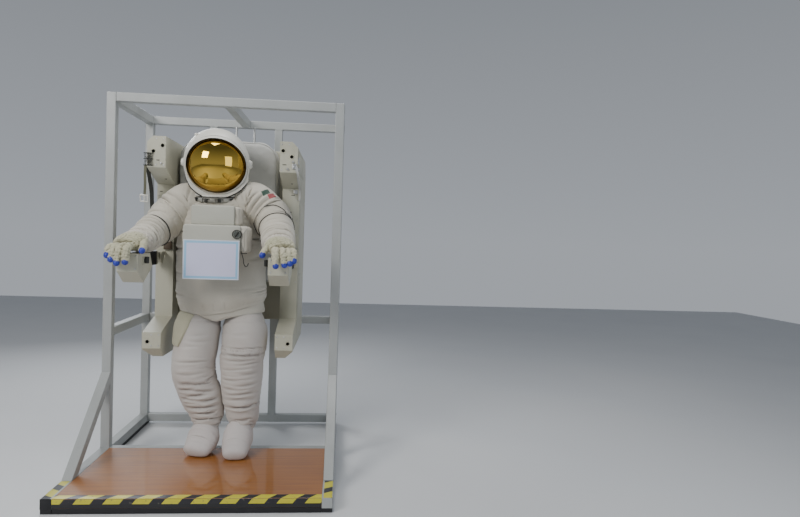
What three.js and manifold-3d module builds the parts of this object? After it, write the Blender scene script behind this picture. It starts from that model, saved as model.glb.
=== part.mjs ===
// A museum replica of an astronaut's jet backpack and the empty pressure suit strapped into it,
// hung in a welded display stand of square tube over a varnished deck.
// Millimetres. +Z is up, -Y is the front that faces the visitor, +X is on the visitor's right.
// The origin is on the floor under the middle of the stand. Left and right are the visitor's.
import * as THREE from "three";
import { mergeVertices } from "three/addons/utils/BufferGeometryUtils.js";
import Module from "manifold-3d";

const wasm = await Module();
wasm.setup();

// Driving sizes of the stand
const tube = 50; // side of the square steel tube
const tubeWall = 3;
const gap = 0.3; // room between pieces that touch
const overlap = 5; // how far a part that is joined on reaches into its neighbour
const standWidth = 1310;
const standDepth = 1450;
const standHeight = 2056;
const stripHeight = 20; // black rubber strip under the base rails
const postFront = -20; // front face of the front posts
const middleRailTop = 748;
const uprightX = 214; // middle of the two rear uprights that carry the backpack
const deckThickness = 44;
const braceTop = 500;
const braceFootY = -512;

// Driving sizes of the jet backpack
const packHalfWidth = 405;
const towerWidth = 98;
const packBack = 632;
const upperPodFront = -110;
const columnFront = 95;
const lowerPodFront = -130;
const armPivot = { y: 42, z: 1145 };
const armFront = -540;
const armTop = 1180;
const armBottom = 1110;

// Driving sizes of the suit
const helmet = { x: -43, y: -53, z: 1681 };
const crown = { x: 179, y: 179, z: 198 }; // half sizes of the helmet shell's outside
const helmetLean = 10; // degrees that the helmet leans forward
const shellInner = 172;
const visorOuter = 166;
const visorInner = 162;
const bubbleRadius = 156;
const collarDrop = 172; // from the helmet's middle down to its neck ring
const ringHeight = 28;
const lifeSupport = { x: -15, halfWidth: 285, front: 130, back: 311, bottom: 1012, top: 1840, corner: 112 };

const paint = (color, roughness, metalness) =>
  new THREE.MeshStandardMaterial({ color, roughness, metalness });
const materials = {
  steel: paint(0xc9c9c4, 0.45, 0.3),
  rubber: paint(0x17161a, 0.8, 0),
  deck: paint(0xa8580f, 0.25, 0),
  shell: paint(0xd9d8cb, 0.5, 0),
  fabric: paint(0xded9cf, 0.9, 0),
  glove: paint(0xd2cdb4, 0.9, 0),
  boot: paint(0xe3dedb, 0.85, 0),
  gold: paint(0xd8a021, 0.08, 1),
  dark: paint(0x1c1a18, 0.3, 0.1),
  card: paint(0xdfe3f2, 0.4, 0),
};

const group = new THREE.Group();

function place(name, geometry, material) {
  const mesh = new THREE.Mesh(geometry, material);
  mesh.name = name;
  group.add(mesh);
  return mesh;
}

// A box between two corners.
function boxGeometry([x0, x1], [y0, y1], [z0, z1]) {
  const geometry = new THREE.BoxGeometry(x1 - x0, y1 - y0, z1 - z0);
  return geometry.translate((x0 + x1) / 2, (y0 + y1) / 2, (z0 + z1) / 2);
}

// A tube or plate between two corners, as its own named piece.
function block(name, xs, ys, zs, material) {
  return place(name, boxGeometry(xs, ys, zs), material);
}

// A closed outline in Y and Z, carried along X from x0 to x1.
function sideProfile(points, x0, x1) {
  const shape = new THREE.Shape(points.map(([y, z]) => new THREE.Vector2(y, z)));
  const geometry = new THREE.ExtrudeGeometry(shape, { depth: x1 - x0, bevelEnabled: false });
  // The outline's own x and y become Y and Z, and its depth becomes X.
  const turn = new THREE.Matrix4().makeBasis(
    new THREE.Vector3(0, 1, 0),
    new THREE.Vector3(0, 0, 1),
    new THREE.Vector3(1, 0, 0),
  );
  return geometry.applyMatrix4(turn).translate(x0, 0, 0);
}

// A closed outline in X and Z, carried along Y from y0 to y1.
function frontProfile(shape, y0, y1) {
  const geometry = new THREE.ExtrudeGeometry(shape, {
    depth: y1 - y0,
    bevelEnabled: false,
    curveSegments: 6,
  });
  const turn = new THREE.Matrix4().makeBasis(
    new THREE.Vector3(1, 0, 0),
    new THREE.Vector3(0, 0, 1),
    new THREE.Vector3(0, -1, 0),
  );
  return geometry.applyMatrix4(turn).translate(0, y1, 0);
}

function toSolid(geometry) {
  const bare = new THREE.BufferGeometry();
  const flat = geometry.index ? geometry.toNonIndexed() : geometry;
  bare.setAttribute("position", flat.getAttribute("position").clone());
  const merged = mergeVertices(bare, 1e-3);
  return new wasm.Manifold(
    new wasm.Mesh({
      numProp: 3,
      vertProperties: new Float32Array(merged.attributes.position.array),
      triVerts: new Uint32Array(merged.index.array),
    }),
  );
}

function toGeometry(solid) {
  const mesh = solid.getMesh();
  const geometry = new THREE.BufferGeometry();
  geometry.setAttribute("position", new THREE.BufferAttribute(new Float32Array(mesh.vertProperties), 3));
  geometry.setIndex(new THREE.BufferAttribute(new Uint32Array(mesh.triVerts), 1));
  geometry.computeVertexNormals();
  return geometry;
}

const joined = (geometries) =>
  geometries.map(toSolid).reduce((sum, next) => sum.add(next));

// A round bar between two points.
function bar(from, to, radius, sides = 16) {
  const start = new THREE.Vector3(...from);
  const end = new THREE.Vector3(...to);
  const way = end.clone().sub(start);
  const geometry = new THREE.CylinderGeometry(radius, radius, way.length(), sides);
  const turn = new THREE.Quaternion().setFromUnitVectors(
    new THREE.Vector3(0, 1, 0),
    way.clone().normalize(),
  );
  return geometry
    .applyQuaternion(turn)
    .translate(...start.add(end).multiplyScalar(0.5).toArray());
}

// A soft form through a table of oval sections. Each row is
// [x, y, z of the section's middle, half width, half depth]. The sections stand square to the
// line through their middles, and "across" is the way of their width. Grow widens every section
// and carries both ends on by as much.
function softForm(rows, { sides = 20, steps = 14, across = [1, 0, 0], grow = 0 } = {}) {
  const middles = rows.map(([x, y, z]) => new THREE.Vector3(x, y, z));
  const spine = new THREE.CatmullRomCurve3(middles, false, "catmullrom", 0.5);
  const sizes = new THREE.SplineCurve(rows.map((row) => new THREE.Vector2(row[3], row[4])));
  const geometry = new THREE.CylinderGeometry(1, 1, 1, sides, steps);
  const position = geometry.getAttribute("position");
  const wide = new THREE.Vector3(...across);
  for (let i = 0; i < position.count; i += 1) {
    const t = 0.5 - position.getY(i);
    const ahead = spine.getTangent(t);
    const side = wide.clone().sub(ahead.clone().multiplyScalar(wide.dot(ahead))).normalize();
    const front = new THREE.Vector3().crossVectors(ahead, side);
    const beyond = (Math.floor(t) - Math.floor(1 - t)) * grow;
    const size = sizes.getPoint(t);
    const point = spine
      .getPoint(t)
      .addScaledVector(ahead, beyond)
      .addScaledVector(side, position.getX(i) * (size.x + grow))
      .addScaledVector(front, position.getZ(i) * (size.y + grow));
    position.setXYZ(i, point.x, point.y, point.z);
  }
  return geometry;
}

// The stand: two base rails and three cross rails, four posts, and rails at the top and half way
const halfWidth = standWidth / 2;
const halfDepth = standDepth / 2;
const railTop = stripHeight + tube;
const innerX = halfWidth - tube;
const rearFront = halfDepth - tube; // front face of the rear frame
const postBack = postFront + tube;
const topBottom = standHeight - tube;
const between = [-innerX + gap, innerX - gap];
const topRail = [topBottom, standHeight];
const middleRail = [middleRailTop - tube, middleRailTop];
const sideRun = [postBack + gap, rearFront - gap];
const sides = [["left", -1], ["right", 1]];

// The span from a to b on one side, or its mirror image.
const mirrored = (sign, a, b) => (sign < 0 ? [-b, -a] : [a, b]);

// A tube along Y with a welded plate on its front end, and its rear end open.
function openTube([x0, x1], [y0, y1], [z0, z1]) {
  const bore = boxGeometry(
    [x0 + tubeWall, x1 - tubeWall],
    [y0 + tubeWall, y1 + overlap],
    [z0 + tubeWall, z1 - tubeWall],
  );
  return toGeometry(toSolid(boxGeometry([x0, x1], [y0, y1], [z0, z1])).subtract(toSolid(bore)));
}

for (const [side, sign] of sides) {
  const across = mirrored(sign, innerX, halfWidth);
  const { steel, rubber } = materials;
  block(`base_strip_${side}`, across, [-halfDepth, halfDepth], [0, stripHeight], rubber);
  place(`base_rail_${side}`, openTube(across, [-halfDepth, halfDepth], [stripHeight + gap, railTop]), steel);
  block(`front_post_${side}`, across, [postFront, postBack], [railTop + gap, standHeight], steel);
  block(`rear_post_${side}`, across, [rearFront, halfDepth], [railTop + gap, standHeight], steel);
  block(`top_rail_${side}`, across, sideRun, topRail, steel);
  block(`middle_rail_${side}`, across, sideRun, middleRail, steel);
  const upright = mirrored(sign, uprightX - tube / 2, uprightX + tube / 2);
  block(`rear_upright_${side}`, upright, [rearFront, halfDepth], [railTop + gap, topBottom - gap], steel);
  const rearSpan = mirrored(sign, uprightX + tube / 2 + gap, innerX - gap);
  block(`rear_middle_rail_${side}`, rearSpan, [rearFront, halfDepth], middleRail, steel);
  // The brace leans from the base rail up to the front post. Its ends are cut to lie on both.
  const slope = (braceTop - railTop) / (postFront - braceFootY);
  const endLength = tube * Math.hypot(1, 1 / slope);
  const brace = sideProfile(
    [
      [braceFootY, railTop + gap],
      [braceFootY + endLength, railTop + gap],
      [postFront - gap, braceTop - endLength * slope],
      [postFront - gap, braceTop],
    ],
    ...across,
  );
  place(`brace_${side}`, brace, steel);
}
block("base_rail_middle", between, [postFront, postBack], [stripHeight + gap, railTop], materials.steel);
block("base_rail_rear", between, [rearFront, halfDepth], [stripHeight + gap, railTop], materials.steel);
block("top_rail_front", between, [postFront, postBack], topRail, materials.steel);
block("top_rail_rear", between, [rearFront, halfDepth], topRail, materials.steel);
block("top_rail_centre", [-tube / 2, tube / 2], sideRun, topRail, materials.steel);
block("deck", between, [-halfDepth, postFront - gap], [railTop - deckThickness, railTop], materials.deck);
block(
  "front_skirt",
  between,
  [-halfDepth, -halfDepth + tube],
  [0, railTop - deckThickness - gap],
  materials.rubber,
);

// The jet backpack's centre body: a deep foot under the life support box, and a shallower back
const bodyHalf = packHalfWidth - towerWidth - gap;
const bodyFoot = { front: 232, bottom: 780 };
const bodyFront = lifeSupport.back + gap;
const bodyTop = 1811;
const bodyChamfer = 96;
place(
  "pack_body",
  sideProfile(
    [
      [bodyFoot.front, bodyFoot.bottom],
      [packBack, bodyFoot.bottom],
      [packBack, bodyTop - bodyChamfer],
      [packBack - bodyChamfer, bodyTop],
      [bodyFront, bodyTop],
      [bodyFront, lifeSupport.bottom - gap],
      [bodyFoot.front, lifeSupport.bottom - gap],
    ],
    -bodyHalf,
    bodyHalf,
  ),
  materials.shell,
);

// Each control arm folds down on a pin between two ears that stand on the tower's column.
// The ears, the pin and the arm's beam stand near the column's outer edge.
const armHalf = towerWidth / 2;
const beamInset = 26; // from the tower's outer face to the beam's middle
const beamHalf = 13;
const earInner = 19;
const earThickness = 7;
const earRadius = 34;
const pinRadius = 8;
const pinClearance = 0.08;
const tongueRadius = 30;
const pinSides = 32;
const armShoulder = armPivot.y - 42; // rear face of the beam's full height
const armHead = { rearTop: -350, rear: -308, valley: -448, bottom: 1036, fold: 1094 };

// The hand lever: a foot plate on the arm's inner face, a stalk, and an upright round grip
const lever = {
  foot: { thickness: 7, y: [-477, -442], z: [1126, 1166] },
  stalk: { y: -459, z: 1146, radius: 6, length: 20 },
  grip: { inward: 18, radius: 9, z: [1132, 1162] },
};

// An outline in Y and Z that runs straight from y0 to the pivot and ends round about it.
function roundEnd(y0, radius) {
  const shape = new THREE.Shape();
  shape.moveTo(y0, armPivot.z - radius);
  const [from, to] = y0 < armPivot.y ? [-Math.PI / 2, Math.PI / 2] : [(3 * Math.PI) / 2, Math.PI / 2];
  shape.absarc(armPivot.y, armPivot.z, radius, from, to, y0 > armPivot.y);
  shape.lineTo(y0, armPivot.z + radius);
  return shape.extractPoints(10).shape.map((point) => [point.x, point.y]);
}

// Two side towers: a column between an upper and a lower thruster pod that reach forward
const upperPod = { top: 1811, frontBottom: 1641, columnTop: 1567, slope: 106 };
const lowerPod = { frontTop: 742, columnBottom: 803, frontBottom: 654, bottom: 602, chamfer: 53 };
const towerEdge = { upper: 31, lower: 43 };
const nozzle = { radius: 10, depth: 30 };
const nozzles = [
  { inward: 17, z: 1760, front: upperPodFront },
  { inward: 65, z: 1728, front: upperPodFront },
  { inward: 71, z: 690, front: lowerPodFront },
];

function towerSolid(sign) {
  const outer = sign * packHalfWidth;
  const inner = outer - sign * towerWidth;
  const outline = [
    [upperPodFront, upperPod.frontBottom],
    [columnFront, upperPod.columnTop],
    [columnFront, lowerPod.columnBottom],
    [lowerPodFront, lowerPod.frontTop],
    [lowerPodFront, lowerPod.frontBottom],
    [lowerPodFront + lowerPod.chamfer, lowerPod.bottom],
    [packBack - upperPod.slope, lowerPod.bottom],
    [packBack, lowerPod.bottom + upperPod.slope],
    [packBack, upperPod.top - upperPod.slope],
    [packBack - upperPod.slope, upperPod.top],
    [upperPodFront, upperPod.top],
  ];
  let solid = toSolid(sideProfile(outline, ...mirrored(sign, packHalfWidth - towerWidth, packHalfWidth)));
  // The outer edges are cut off along the top and the bottom.
  for (const [z, edge] of [[upperPod.top, towerEdge.upper], [lowerPod.bottom, towerEdge.lower]]) {
    const cutter = new THREE.BoxGeometry(edge * Math.SQRT2, standDepth, edge * Math.SQRT2);
    cutter.rotateY(Math.PI / 4);
    cutter.translate(outer, 0, z);
    solid = solid.subtract(toSolid(cutter));
  }
  for (const { inward, z, front } of nozzles) {
    const x = inner + sign * inward;
    const drill = bar([x, front - overlap, z], [x, front + nozzle.depth, z], nozzle.radius);
    solid = solid.subtract(toSolid(drill));
  }
  // The ears and the pin that the control arm turns on
  const middle = outer - sign * beamInset;
  for (const earSide of [-1, 1]) {
    const x0 = earSide < 0 ? middle - earInner - earThickness : middle + earInner;
    const ear = sideProfile(roundEnd(columnFront + overlap, earRadius), x0, x0 + earThickness);
    solid = solid.add(toSolid(ear));
  }
  const pinEnd = earInner + 1;
  const from = [middle - pinEnd, armPivot.y, armPivot.z];
  const to = [middle + pinEnd, armPivot.y, armPivot.z];
  return solid.add(toSolid(bar(from, to, pinRadius, pinSides)));
}

// The arm: a slim beam with a round bored end, and a wide head with a valley-shaped bottom.
// A bent lever for the hand stands on the inner side of the head.
function armSolid(sign) {
  const middle = sign * (packHalfWidth - towerWidth / 2);
  const outline = [
    [armHead.rear, armBottom],
    [armHead.rearTop, armTop],
    [armFront, armTop],
    [armFront, armHead.fold],
    [armHead.valley, armHead.bottom],
  ];
  const head = toSolid(sideProfile(outline, middle - armHalf, middle + armHalf));
  const beamMiddle = sign * (packHalfWidth - beamInset);
  const beamSpan = [beamMiddle - beamHalf, beamMiddle + beamHalf];
  const beam = toSolid(boxGeometry(beamSpan, [armHead.rearTop - overlap, armShoulder], [armBottom, armTop]));
  const tongue = toSolid(sideProfile(roundEnd(armShoulder - overlap, tongueRadius), ...beamSpan));
  const bore = toSolid(
    bar(
      [middle - armHalf, armPivot.y, armPivot.z],
      [middle + armHalf, armPivot.y, armPivot.z],
      pinRadius + pinClearance,
      pinSides,
    ),
  );
  const { foot, stalk, grip } = lever;
  const inward = (distance) => middle - sign * (armHalf + distance);
  const footSpan = [inward(-overlap), inward(foot.thickness)].sort((a, b) => a - b);
  const stalkBar = bar([inward(0), stalk.y, stalk.z], [inward(stalk.length), stalk.y, stalk.z], stalk.radius);
  const [gripLow, gripHigh] = grip.z.map((z) => [inward(grip.inward), stalk.y, z]);
  const gripBar = bar(gripLow, gripHigh, grip.radius);
  const handLever = joined([boxGeometry(footSpan, foot.y, foot.z), stalkBar, gripBar]);
  return head.add(beam).add(tongue).subtract(bore).add(handLever);
}
for (const [side, sign] of sides) {
  place(`tower_${side}`, toGeometry(towerSolid(sign)), materials.shell);
  place(`control_arm_${side}`, toGeometry(armSolid(sign)), materials.shell);
}

// A bracket bolts the backpack to the uprights, and two hooks hang it from the rear top rail.
const bracket = { halfWidth: 254, bottom: 1065, top: 1600 };
const hanger = { x: 59, y: packBack + 20, footHalf: 16, footBottom: 1662, footTop: 1706, rodRadius: 8 };
const turnbuckle = { bottom: 1832, top: 1890, radius: 12, sides: 6 };
block(
  "mount_bracket",
  [-bracket.halfWidth, bracket.halfWidth],
  [packBack + gap, rearFront - gap],
  [bracket.bottom, bracket.top],
  materials.steel,
);
for (const [side, sign] of sides) {
  const x = sign * hanger.x;
  const at = (z) => [x, hanger.y, z];
  const foot = boxGeometry(
    [x - hanger.footHalf, x + hanger.footHalf],
    [packBack + gap, rearFront - 2],
    [hanger.footBottom, hanger.footTop],
  );
  const rod = bar(at(hanger.footTop - overlap), at(topBottom - gap), hanger.rodRadius);
  const nut = bar(at(turnbuckle.bottom), at(turnbuckle.top), turnbuckle.radius, turnbuckle.sides);
  place(`hanger_${side}`, toGeometry(joined([foot, rod, nut])), materials.steel);
}

// The suit's life support box, with round upper corners
function lifeSupportShape({ halfWidth, bottom, top, corner }) {
  const shape = new THREE.Shape();
  shape.moveTo(-halfWidth, bottom);
  shape.lineTo(halfWidth, bottom);
  shape.absarc(halfWidth - corner, top - corner, corner, 0, Math.PI / 2, false);
  shape.absarc(corner - halfWidth, top - corner, corner, Math.PI / 2, Math.PI, false);
  return shape;
}
const lifeSupportBox = frontProfile(lifeSupportShape(lifeSupport), lifeSupport.front, lifeSupport.back);
place("life_support_box", lifeSupportBox.translate(lifeSupport.x, 0, 0), materials.fabric);

// The helmet: an inner bubble, a gold visor that swings up on side pins, and an open outer shell.
// Each is made upright about the helmet's middle, and then leaned and put in place.
const inPlace = (solid) => solid.rotate([helmetLean, 0, 0]).translate([helmet.x, helmet.y, helmet.z]);
const ballSegments = [32, 20];
const ballGeometry = (radius) => new THREE.SphereGeometry(radius, ...ballSegments).rotateX(Math.PI / 2);
const ball = (radius) => toSolid(ballGeometry(radius));
const post = ([low, high], radius, sides = 32) => toSolid(bar([0, 0, low], [0, 0, high], radius, sides));
const pivot = { pin: 5, knob: 26, clearance: 0.08, reach: 14 };
const openingHalf = { x: 158, z: 132 };
const visorEdge = { rear: 15, top: 128, bottom: -153 }; // its edges from the pivot
const rim = { radius: 136, top: -135 };
const stem = { radius: 44, top: -100, room: 10 };
const openingLine = { rear: -16, front: -336 }; // the face opening's cutter, in Y
const openingMiddle = (openingLine.rear + openingLine.front) / 2;
const opening = new THREE.CylinderGeometry(1, 1, openingLine.rear - openingLine.front, 40)
  .scale(openingHalf.x, 1, openingHalf.z)
  .translate(0, openingMiddle, 0);

// The outside of the shell with its rim, down to the given depth below the helmet's middle.
function shellOutside(drop, grow = 0) {
  const crownGeometry = ballGeometry(1).scale(crown.x + grow, crown.y + grow, crown.z + grow);
  return toSolid(crownGeometry)
    .subtract(post([-2 * drop, -drop], 2 * rim.radius))
    .add(post([-drop, rim.top], rim.radius + grow));
}

function helmetShell() {
  let shell = shellOutside(collarDrop)
    .subtract(ball(shellInner))
    .subtract(toSolid(opening))
    .subtract(post([-collarDrop - stem.room, stem.top], stem.radius + stem.room));
  for (const sign of [-1, 1]) {
    const inner = sign * (bubbleRadius + 2);
    const outer = sign * (crown.x + pivot.reach);
    const knobInner = sign * (shellInner + 2);
    shell = shell
      .add(toSolid(bar([inner, 0, 0], [outer, 0, 0], pivot.pin, 24)))
      .add(toSolid(bar([knobInner, 0, 0], [outer, 0, 0], pivot.knob, 24)));
  }
  return shell;
}

function visorSolid() {
  const reach = 2 * visorOuter;
  const kept = boxGeometry([-reach, reach], [-reach, visorEdge.rear], [visorEdge.bottom, visorEdge.top]);
  const holes = bar([-reach, 0, 0], [reach, 0, 0], pivot.pin + pivot.clearance, 24);
  return ball(visorOuter).subtract(ball(visorInner)).intersect(toSolid(kept)).subtract(toSolid(holes));
}
const ringSpan = [-collarDrop - ringHeight, -collarDrop - gap];
const bubble = ball(bubbleRadius).add(post([-collarDrop, stem.top], stem.radius));
place("helmet_shell", toGeometry(inPlace(helmetShell())), materials.shell);
place("visor", toGeometry(inPlace(visorSolid())), materials.gold);
place("helmet_bubble", toGeometry(inPlace(bubble)), materials.dark);
place("neck_ring", toGeometry(inPlace(post(ringSpan, rim.radius))), materials.steel);

// Soft pieces, from the trunk outwards. Each one's table of oval sections runs down or outwards,
// with columns x, y, z, half width, half depth. Each is cut back from the pieces before it.
const softPieces = [
  {
    name: "torso",
    rows: [
      [-40, -10, 1530, 140, 110],
      [-36, -8, 1440, 214, 126],
      [-30, -12, 1330, 224, 134],
      [-26, -14, 1220, 231, 142],
      [-16, -16, 1123, 243, 148],
      [-10, -18, 1040, 245, 156],
      [-7, -17, 960, 247, 158],
      [-4, -15, 912, 244, 156],
      [-2, -12, 864, 234, 146],
      [-1, -12, 814, 226, 135],
    ],
  },
  {
    name: "upper_arm_left",
    across: [0, 1, 0],
    rows: [
      [-130, 0, 1448, 106, 112],
      [-215, -6, 1440, 112, 112],
      [-288, -48, 1376, 98, 102],
      [-325, -112, 1320, 86, 90],
    ],
  },
  {
    name: "upper_arm_right",
    across: [0, 1, 0],
    rows: [
      [80, 0, 1462, 106, 112],
      [165, -6, 1456, 112, 114],
      [254, -50, 1392, 100, 104],
      [298, -116, 1336, 88, 92],
    ],
  },
  {
    name: "forearm_left",
    rows: [
      [-326, -114, 1318, 82, 84],
      [-347, -190, 1287, 78, 76],
      [-356, -265, 1257, 74, 67],
      [-365, -335, 1246, 71, 56],
    ],
  },
  {
    name: "forearm_right",
    rows: [
      [299, -118, 1334, 87, 87],
      [315, -190, 1296, 85, 79],
      [326, -265, 1263, 80, 69],
      [337, -335, 1247, 75, 57],
    ],
  },
  {
    name: "leg_left",
    rows: [
      [-112, -10, 900, 98, 104],
      [-124, -21, 800, 118, 126],
      [-138, -30, 655, 116, 130],
      [-147, -38, 575, 114, 126],
      [-143, -44, 509, 112, 120],
      [-124, -42, 437, 109, 113],
      [-97, -38, 368, 107, 106],
      [-77, -34, 310, 94, 97],
      [-69, -32, 252, 75, 84],
      [-70, -33, 214, 62, 72],
    ],
  },
  {
    name: "leg_right",
    rows: [
      [111, -10, 900, 98, 106],
      [124, -21, 800, 117, 126],
      [128, -29, 690, 123, 130],
      [118, -38, 585, 115, 121],
      [120, -41, 510, 111, 117],
      [119, -40, 440, 107, 112],
      [120, -38, 370, 99, 105],
      [125, -36, 316, 92, 98],
      [131, -34, 262, 81, 88],
      [128, -33, 209, 62, 72],
    ],
  },
];
const far = 2 * standHeight; // past the whole object
const cutters = [
  inPlace(post([ringSpan[0] - gap, 0], rim.radius + gap)),
  inPlace(shellOutside(collarDrop + ringHeight + gap, gap)),
  toSolid(boxGeometry([-far, far], [lifeSupport.front - gap, far], [-far, far])),
];
const cutBack = (solid) => cutters.reduce((rest, cutter) => rest.subtract(cutter), solid);
for (const { name, rows, across } of softPieces) {
  place(name, toGeometry(cutBack(toSolid(softForm(rows, { across })))), materials.fabric);
  cutters.push(toSolid(softForm(rows, { across, grow: gap })));
}

// The chest pack: a narrow upper part, a wide lower one with a dial, and a blank card below
const chestSeam = 1335; // height where the two parts meet
const chestRear = -90; // inside the trunk, which is cut out of both
const chestPlate = { x: [-131, 93], front: -256, top: 1439 };
const chestBox = { x: [-161, 170], front: -298, bottom: 1188 };
const dial = { x: 115, z: 1289, radius: 24, height: 8, sides: 24 };
const card = { x: [-156, 130], y: [-304, -301], z: [1050, 1256] };
const upperChest = boxGeometry(chestPlate.x, [chestPlate.front, chestRear], [chestSeam, chestPlate.top]);
const lowerChest = joined([
  boxGeometry(chestBox.x, [chestBox.front, chestRear], [chestBox.bottom, chestSeam - gap]),
  bar(
    [dial.x, chestBox.front - dial.height, dial.z],
    [dial.x, chestBox.front + dial.height, dial.z],
    dial.radius,
    dial.sides,
  ),
]);
place("chest_plate", toGeometry(cutBack(toSolid(upperChest))), materials.shell);
place("chest_box", toGeometry(cutBack(lowerChest)), materials.shell);
block("sign_card", card.x, card.y, card.z, materials.card);

// A string of round-ended segments through a list of points
function sausage(points, radius) {
  const parts = points.map((point) => new THREE.SphereGeometry(radius, 10, 7).translate(...point));
  for (let i = 1; i < points.length; i += 1) {
    parts.push(bar(points[i - 1], points[i], radius, 10));
  }
  return joined(parts);
}

// Gloves: a flat palm with four drooping fingers and a thumb. Finger points run knuckle, bend, tip.
const gloves = {
  left: {
    palm: [
      [-363, -326, 1247, 70, 54],
      [-368, -384, 1243, 75, 50],
      [-380, -439, 1234, 73, 42],
      [-391, -482, 1223, 68, 31],
      [-395, -510, 1216, 59, 20],
    ],
    fingers: [
      [[-430, -459, 1214], [-438, -550, 1208], [-438, -578, 1169]],
      [[-412, -466, 1215], [-413, -558, 1207], [-417, -586, 1150]],
      [[-384, -474, 1215], [-386, -562, 1206], [-390, -589, 1134]],
      [[-356, -474, 1215], [-351, -562, 1207], [-351, -589, 1140]],
    ],
    thumb: [[-334, -389, 1240], [-302, -474, 1227], [-287, -548, 1195]],
  },
  right: {
    palm: [
      [337, -326, 1247, 73, 54],
      [346, -389, 1242, 76, 50],
      [358, -446, 1232, 72, 41],
      [369, -484, 1221, 67, 30],
      [376, -510, 1215, 59, 20],
    ],
    fingers: [
      [[410, -456, 1214], [431, -554, 1208], [434, -580, 1166]],
      [[391, -464, 1215], [408, -560, 1207], [417, -587, 1154]],
      [[363, -474, 1215], [382, -561, 1207], [391, -588, 1146]],
      [[335, -474, 1215], [344, -560, 1208], [349, -588, 1140]],
    ],
    thumb: [[313, -389, 1240], [290, -471, 1223], [276, -520, 1189]],
  },
};
const fingerRadius = 17;
for (const [side, { palm, fingers, thumb }] of Object.entries(gloves)) {
  let solid = toSolid(softForm(palm, { steps: 5, sides: 14 }));
  for (const finger of [...fingers, thumb]) {
    solid = solid.add(sausage(finger, fingerRadius));
  }
  place(`glove_${side}`, toGeometry(cutBack(solid)), materials.glove);
}

// Boots: soft overshoes whose toes droop to the deck
const boots = {
  left: [
    [-72, -28, 262, 42, 54],
    [-72, -40, 205, 60, 76],
    [-75, -70, 158, 80, 82],
    [-84, -112, 128, 81, 64],
    [-96, -158, 104, 73, 45],
    [-101, -186, 91, 48, 22],
  ],
  right: [
    [122, -30, 262, 42, 54],
    [119, -46, 205, 60, 76],
    [115, -92, 158, 78, 82],
    [115, -150, 126, 75, 62],
    [118, -205, 104, 66, 44],
    [120, -238, 91, 44, 21],
  ],
};
cutters.push(toSolid(boxGeometry([-far, far], [-far, far], [-far, railTop + gap])));
for (const [side, rows] of Object.entries(boots)) {
  place(`boot_${side}`, toGeometry(cutBack(toSolid(softForm(rows, { steps: 10 })))), materials.boot);
}

export default group;
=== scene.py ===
# The looks of an astronaut's jet backpack and empty space suit, hung in a tube stand for visitors.
# Everything is in metres, in the CAD model's frame: +Z up, -Y the front, +X to the visitor's right.
import bmesh
import bpy
import numpy as np
from mathutils import Matrix, Vector


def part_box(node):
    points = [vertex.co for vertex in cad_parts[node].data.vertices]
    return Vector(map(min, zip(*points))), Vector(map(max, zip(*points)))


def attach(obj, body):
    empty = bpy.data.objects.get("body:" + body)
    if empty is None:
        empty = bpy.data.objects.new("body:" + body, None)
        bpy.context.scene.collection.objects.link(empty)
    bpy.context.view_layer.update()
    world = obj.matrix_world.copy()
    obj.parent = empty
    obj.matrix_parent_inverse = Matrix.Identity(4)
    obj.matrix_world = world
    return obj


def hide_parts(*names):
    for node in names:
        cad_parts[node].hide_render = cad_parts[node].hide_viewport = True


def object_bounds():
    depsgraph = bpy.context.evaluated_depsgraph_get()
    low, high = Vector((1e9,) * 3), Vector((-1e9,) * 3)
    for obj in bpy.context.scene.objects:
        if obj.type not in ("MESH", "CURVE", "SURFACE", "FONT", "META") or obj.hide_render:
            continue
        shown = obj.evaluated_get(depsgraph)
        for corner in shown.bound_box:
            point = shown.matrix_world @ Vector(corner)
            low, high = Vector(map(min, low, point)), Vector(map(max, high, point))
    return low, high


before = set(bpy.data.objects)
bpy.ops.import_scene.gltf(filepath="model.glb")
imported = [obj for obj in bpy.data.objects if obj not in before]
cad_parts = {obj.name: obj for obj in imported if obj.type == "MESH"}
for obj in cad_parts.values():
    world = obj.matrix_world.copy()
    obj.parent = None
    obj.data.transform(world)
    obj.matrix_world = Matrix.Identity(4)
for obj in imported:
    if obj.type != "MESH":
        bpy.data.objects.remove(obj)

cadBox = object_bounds()
scene = bpy.context.scene
mm = 0.001
frontward, backward, upward = (0, -1, 0), (0, 1, 0), (0, 0, 1)
mirrored = (("left", -1), ("right", 1))


# Shapes
# A shape is a pair: an (n, 3) array of points, and a list of faces as corner numbers.

def gridShape(rings, around=True, caps=True, loop=False):
    # Rings is a (rows, columns, 3) array. Each ring is joined to the next, and then the ends are
    # closed, or the last ring is joined to the first.
    rows, columns = rings.shape[:2]
    index = np.arange(rows * columns).reshape(rows, columns)
    if loop:
        index = np.vstack([index, index[:1]])
    left = index if around else index[:, :-1]
    right = np.roll(index, -1, axis=1) if around else index[:, 1:]
    quads = np.stack([left[:-1], right[:-1], right[1:], left[1:]], -1).reshape(-1, 4).tolist()
    ends = [index[0, ::-1].tolist(), index[-1].tolist()] if caps and not loop else []
    return rings.reshape(-1, 3), quads + ends


def joinShapes(shapes):
    points, faces, start = [], [], 0
    for shapePoints, shapeFaces in shapes:
        points.append(np.asarray(shapePoints))
        faces += [[start + corner for corner in face] for face in shapeFaces]
        start += len(shapePoints)
    return np.vstack(points), faces


def unit(vectors):
    return vectors / np.maximum(np.linalg.norm(vectors, axis=-1, keepdims=True), 1e-12)


def runOf(path):
    # How far along the path each of its points is
    return np.concatenate([[0], np.cumsum(np.linalg.norm(np.diff(path, axis=0), axis=1))])


def inwardOf(outline):
    # The way inside, square to an outline that runs anticlockwise
    ahead = unit(np.roll(outline, -1, axis=0) - np.roll(outline, 1, axis=0))
    return np.stack([-ahead[:, 1], ahead[:, 0]], -1)


def boxOf(node):
    return [np.array(corner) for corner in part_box(node)]


def circle(sides):
    return np.linspace(0, 2 * np.pi, sides, endpoint=False)


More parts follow.
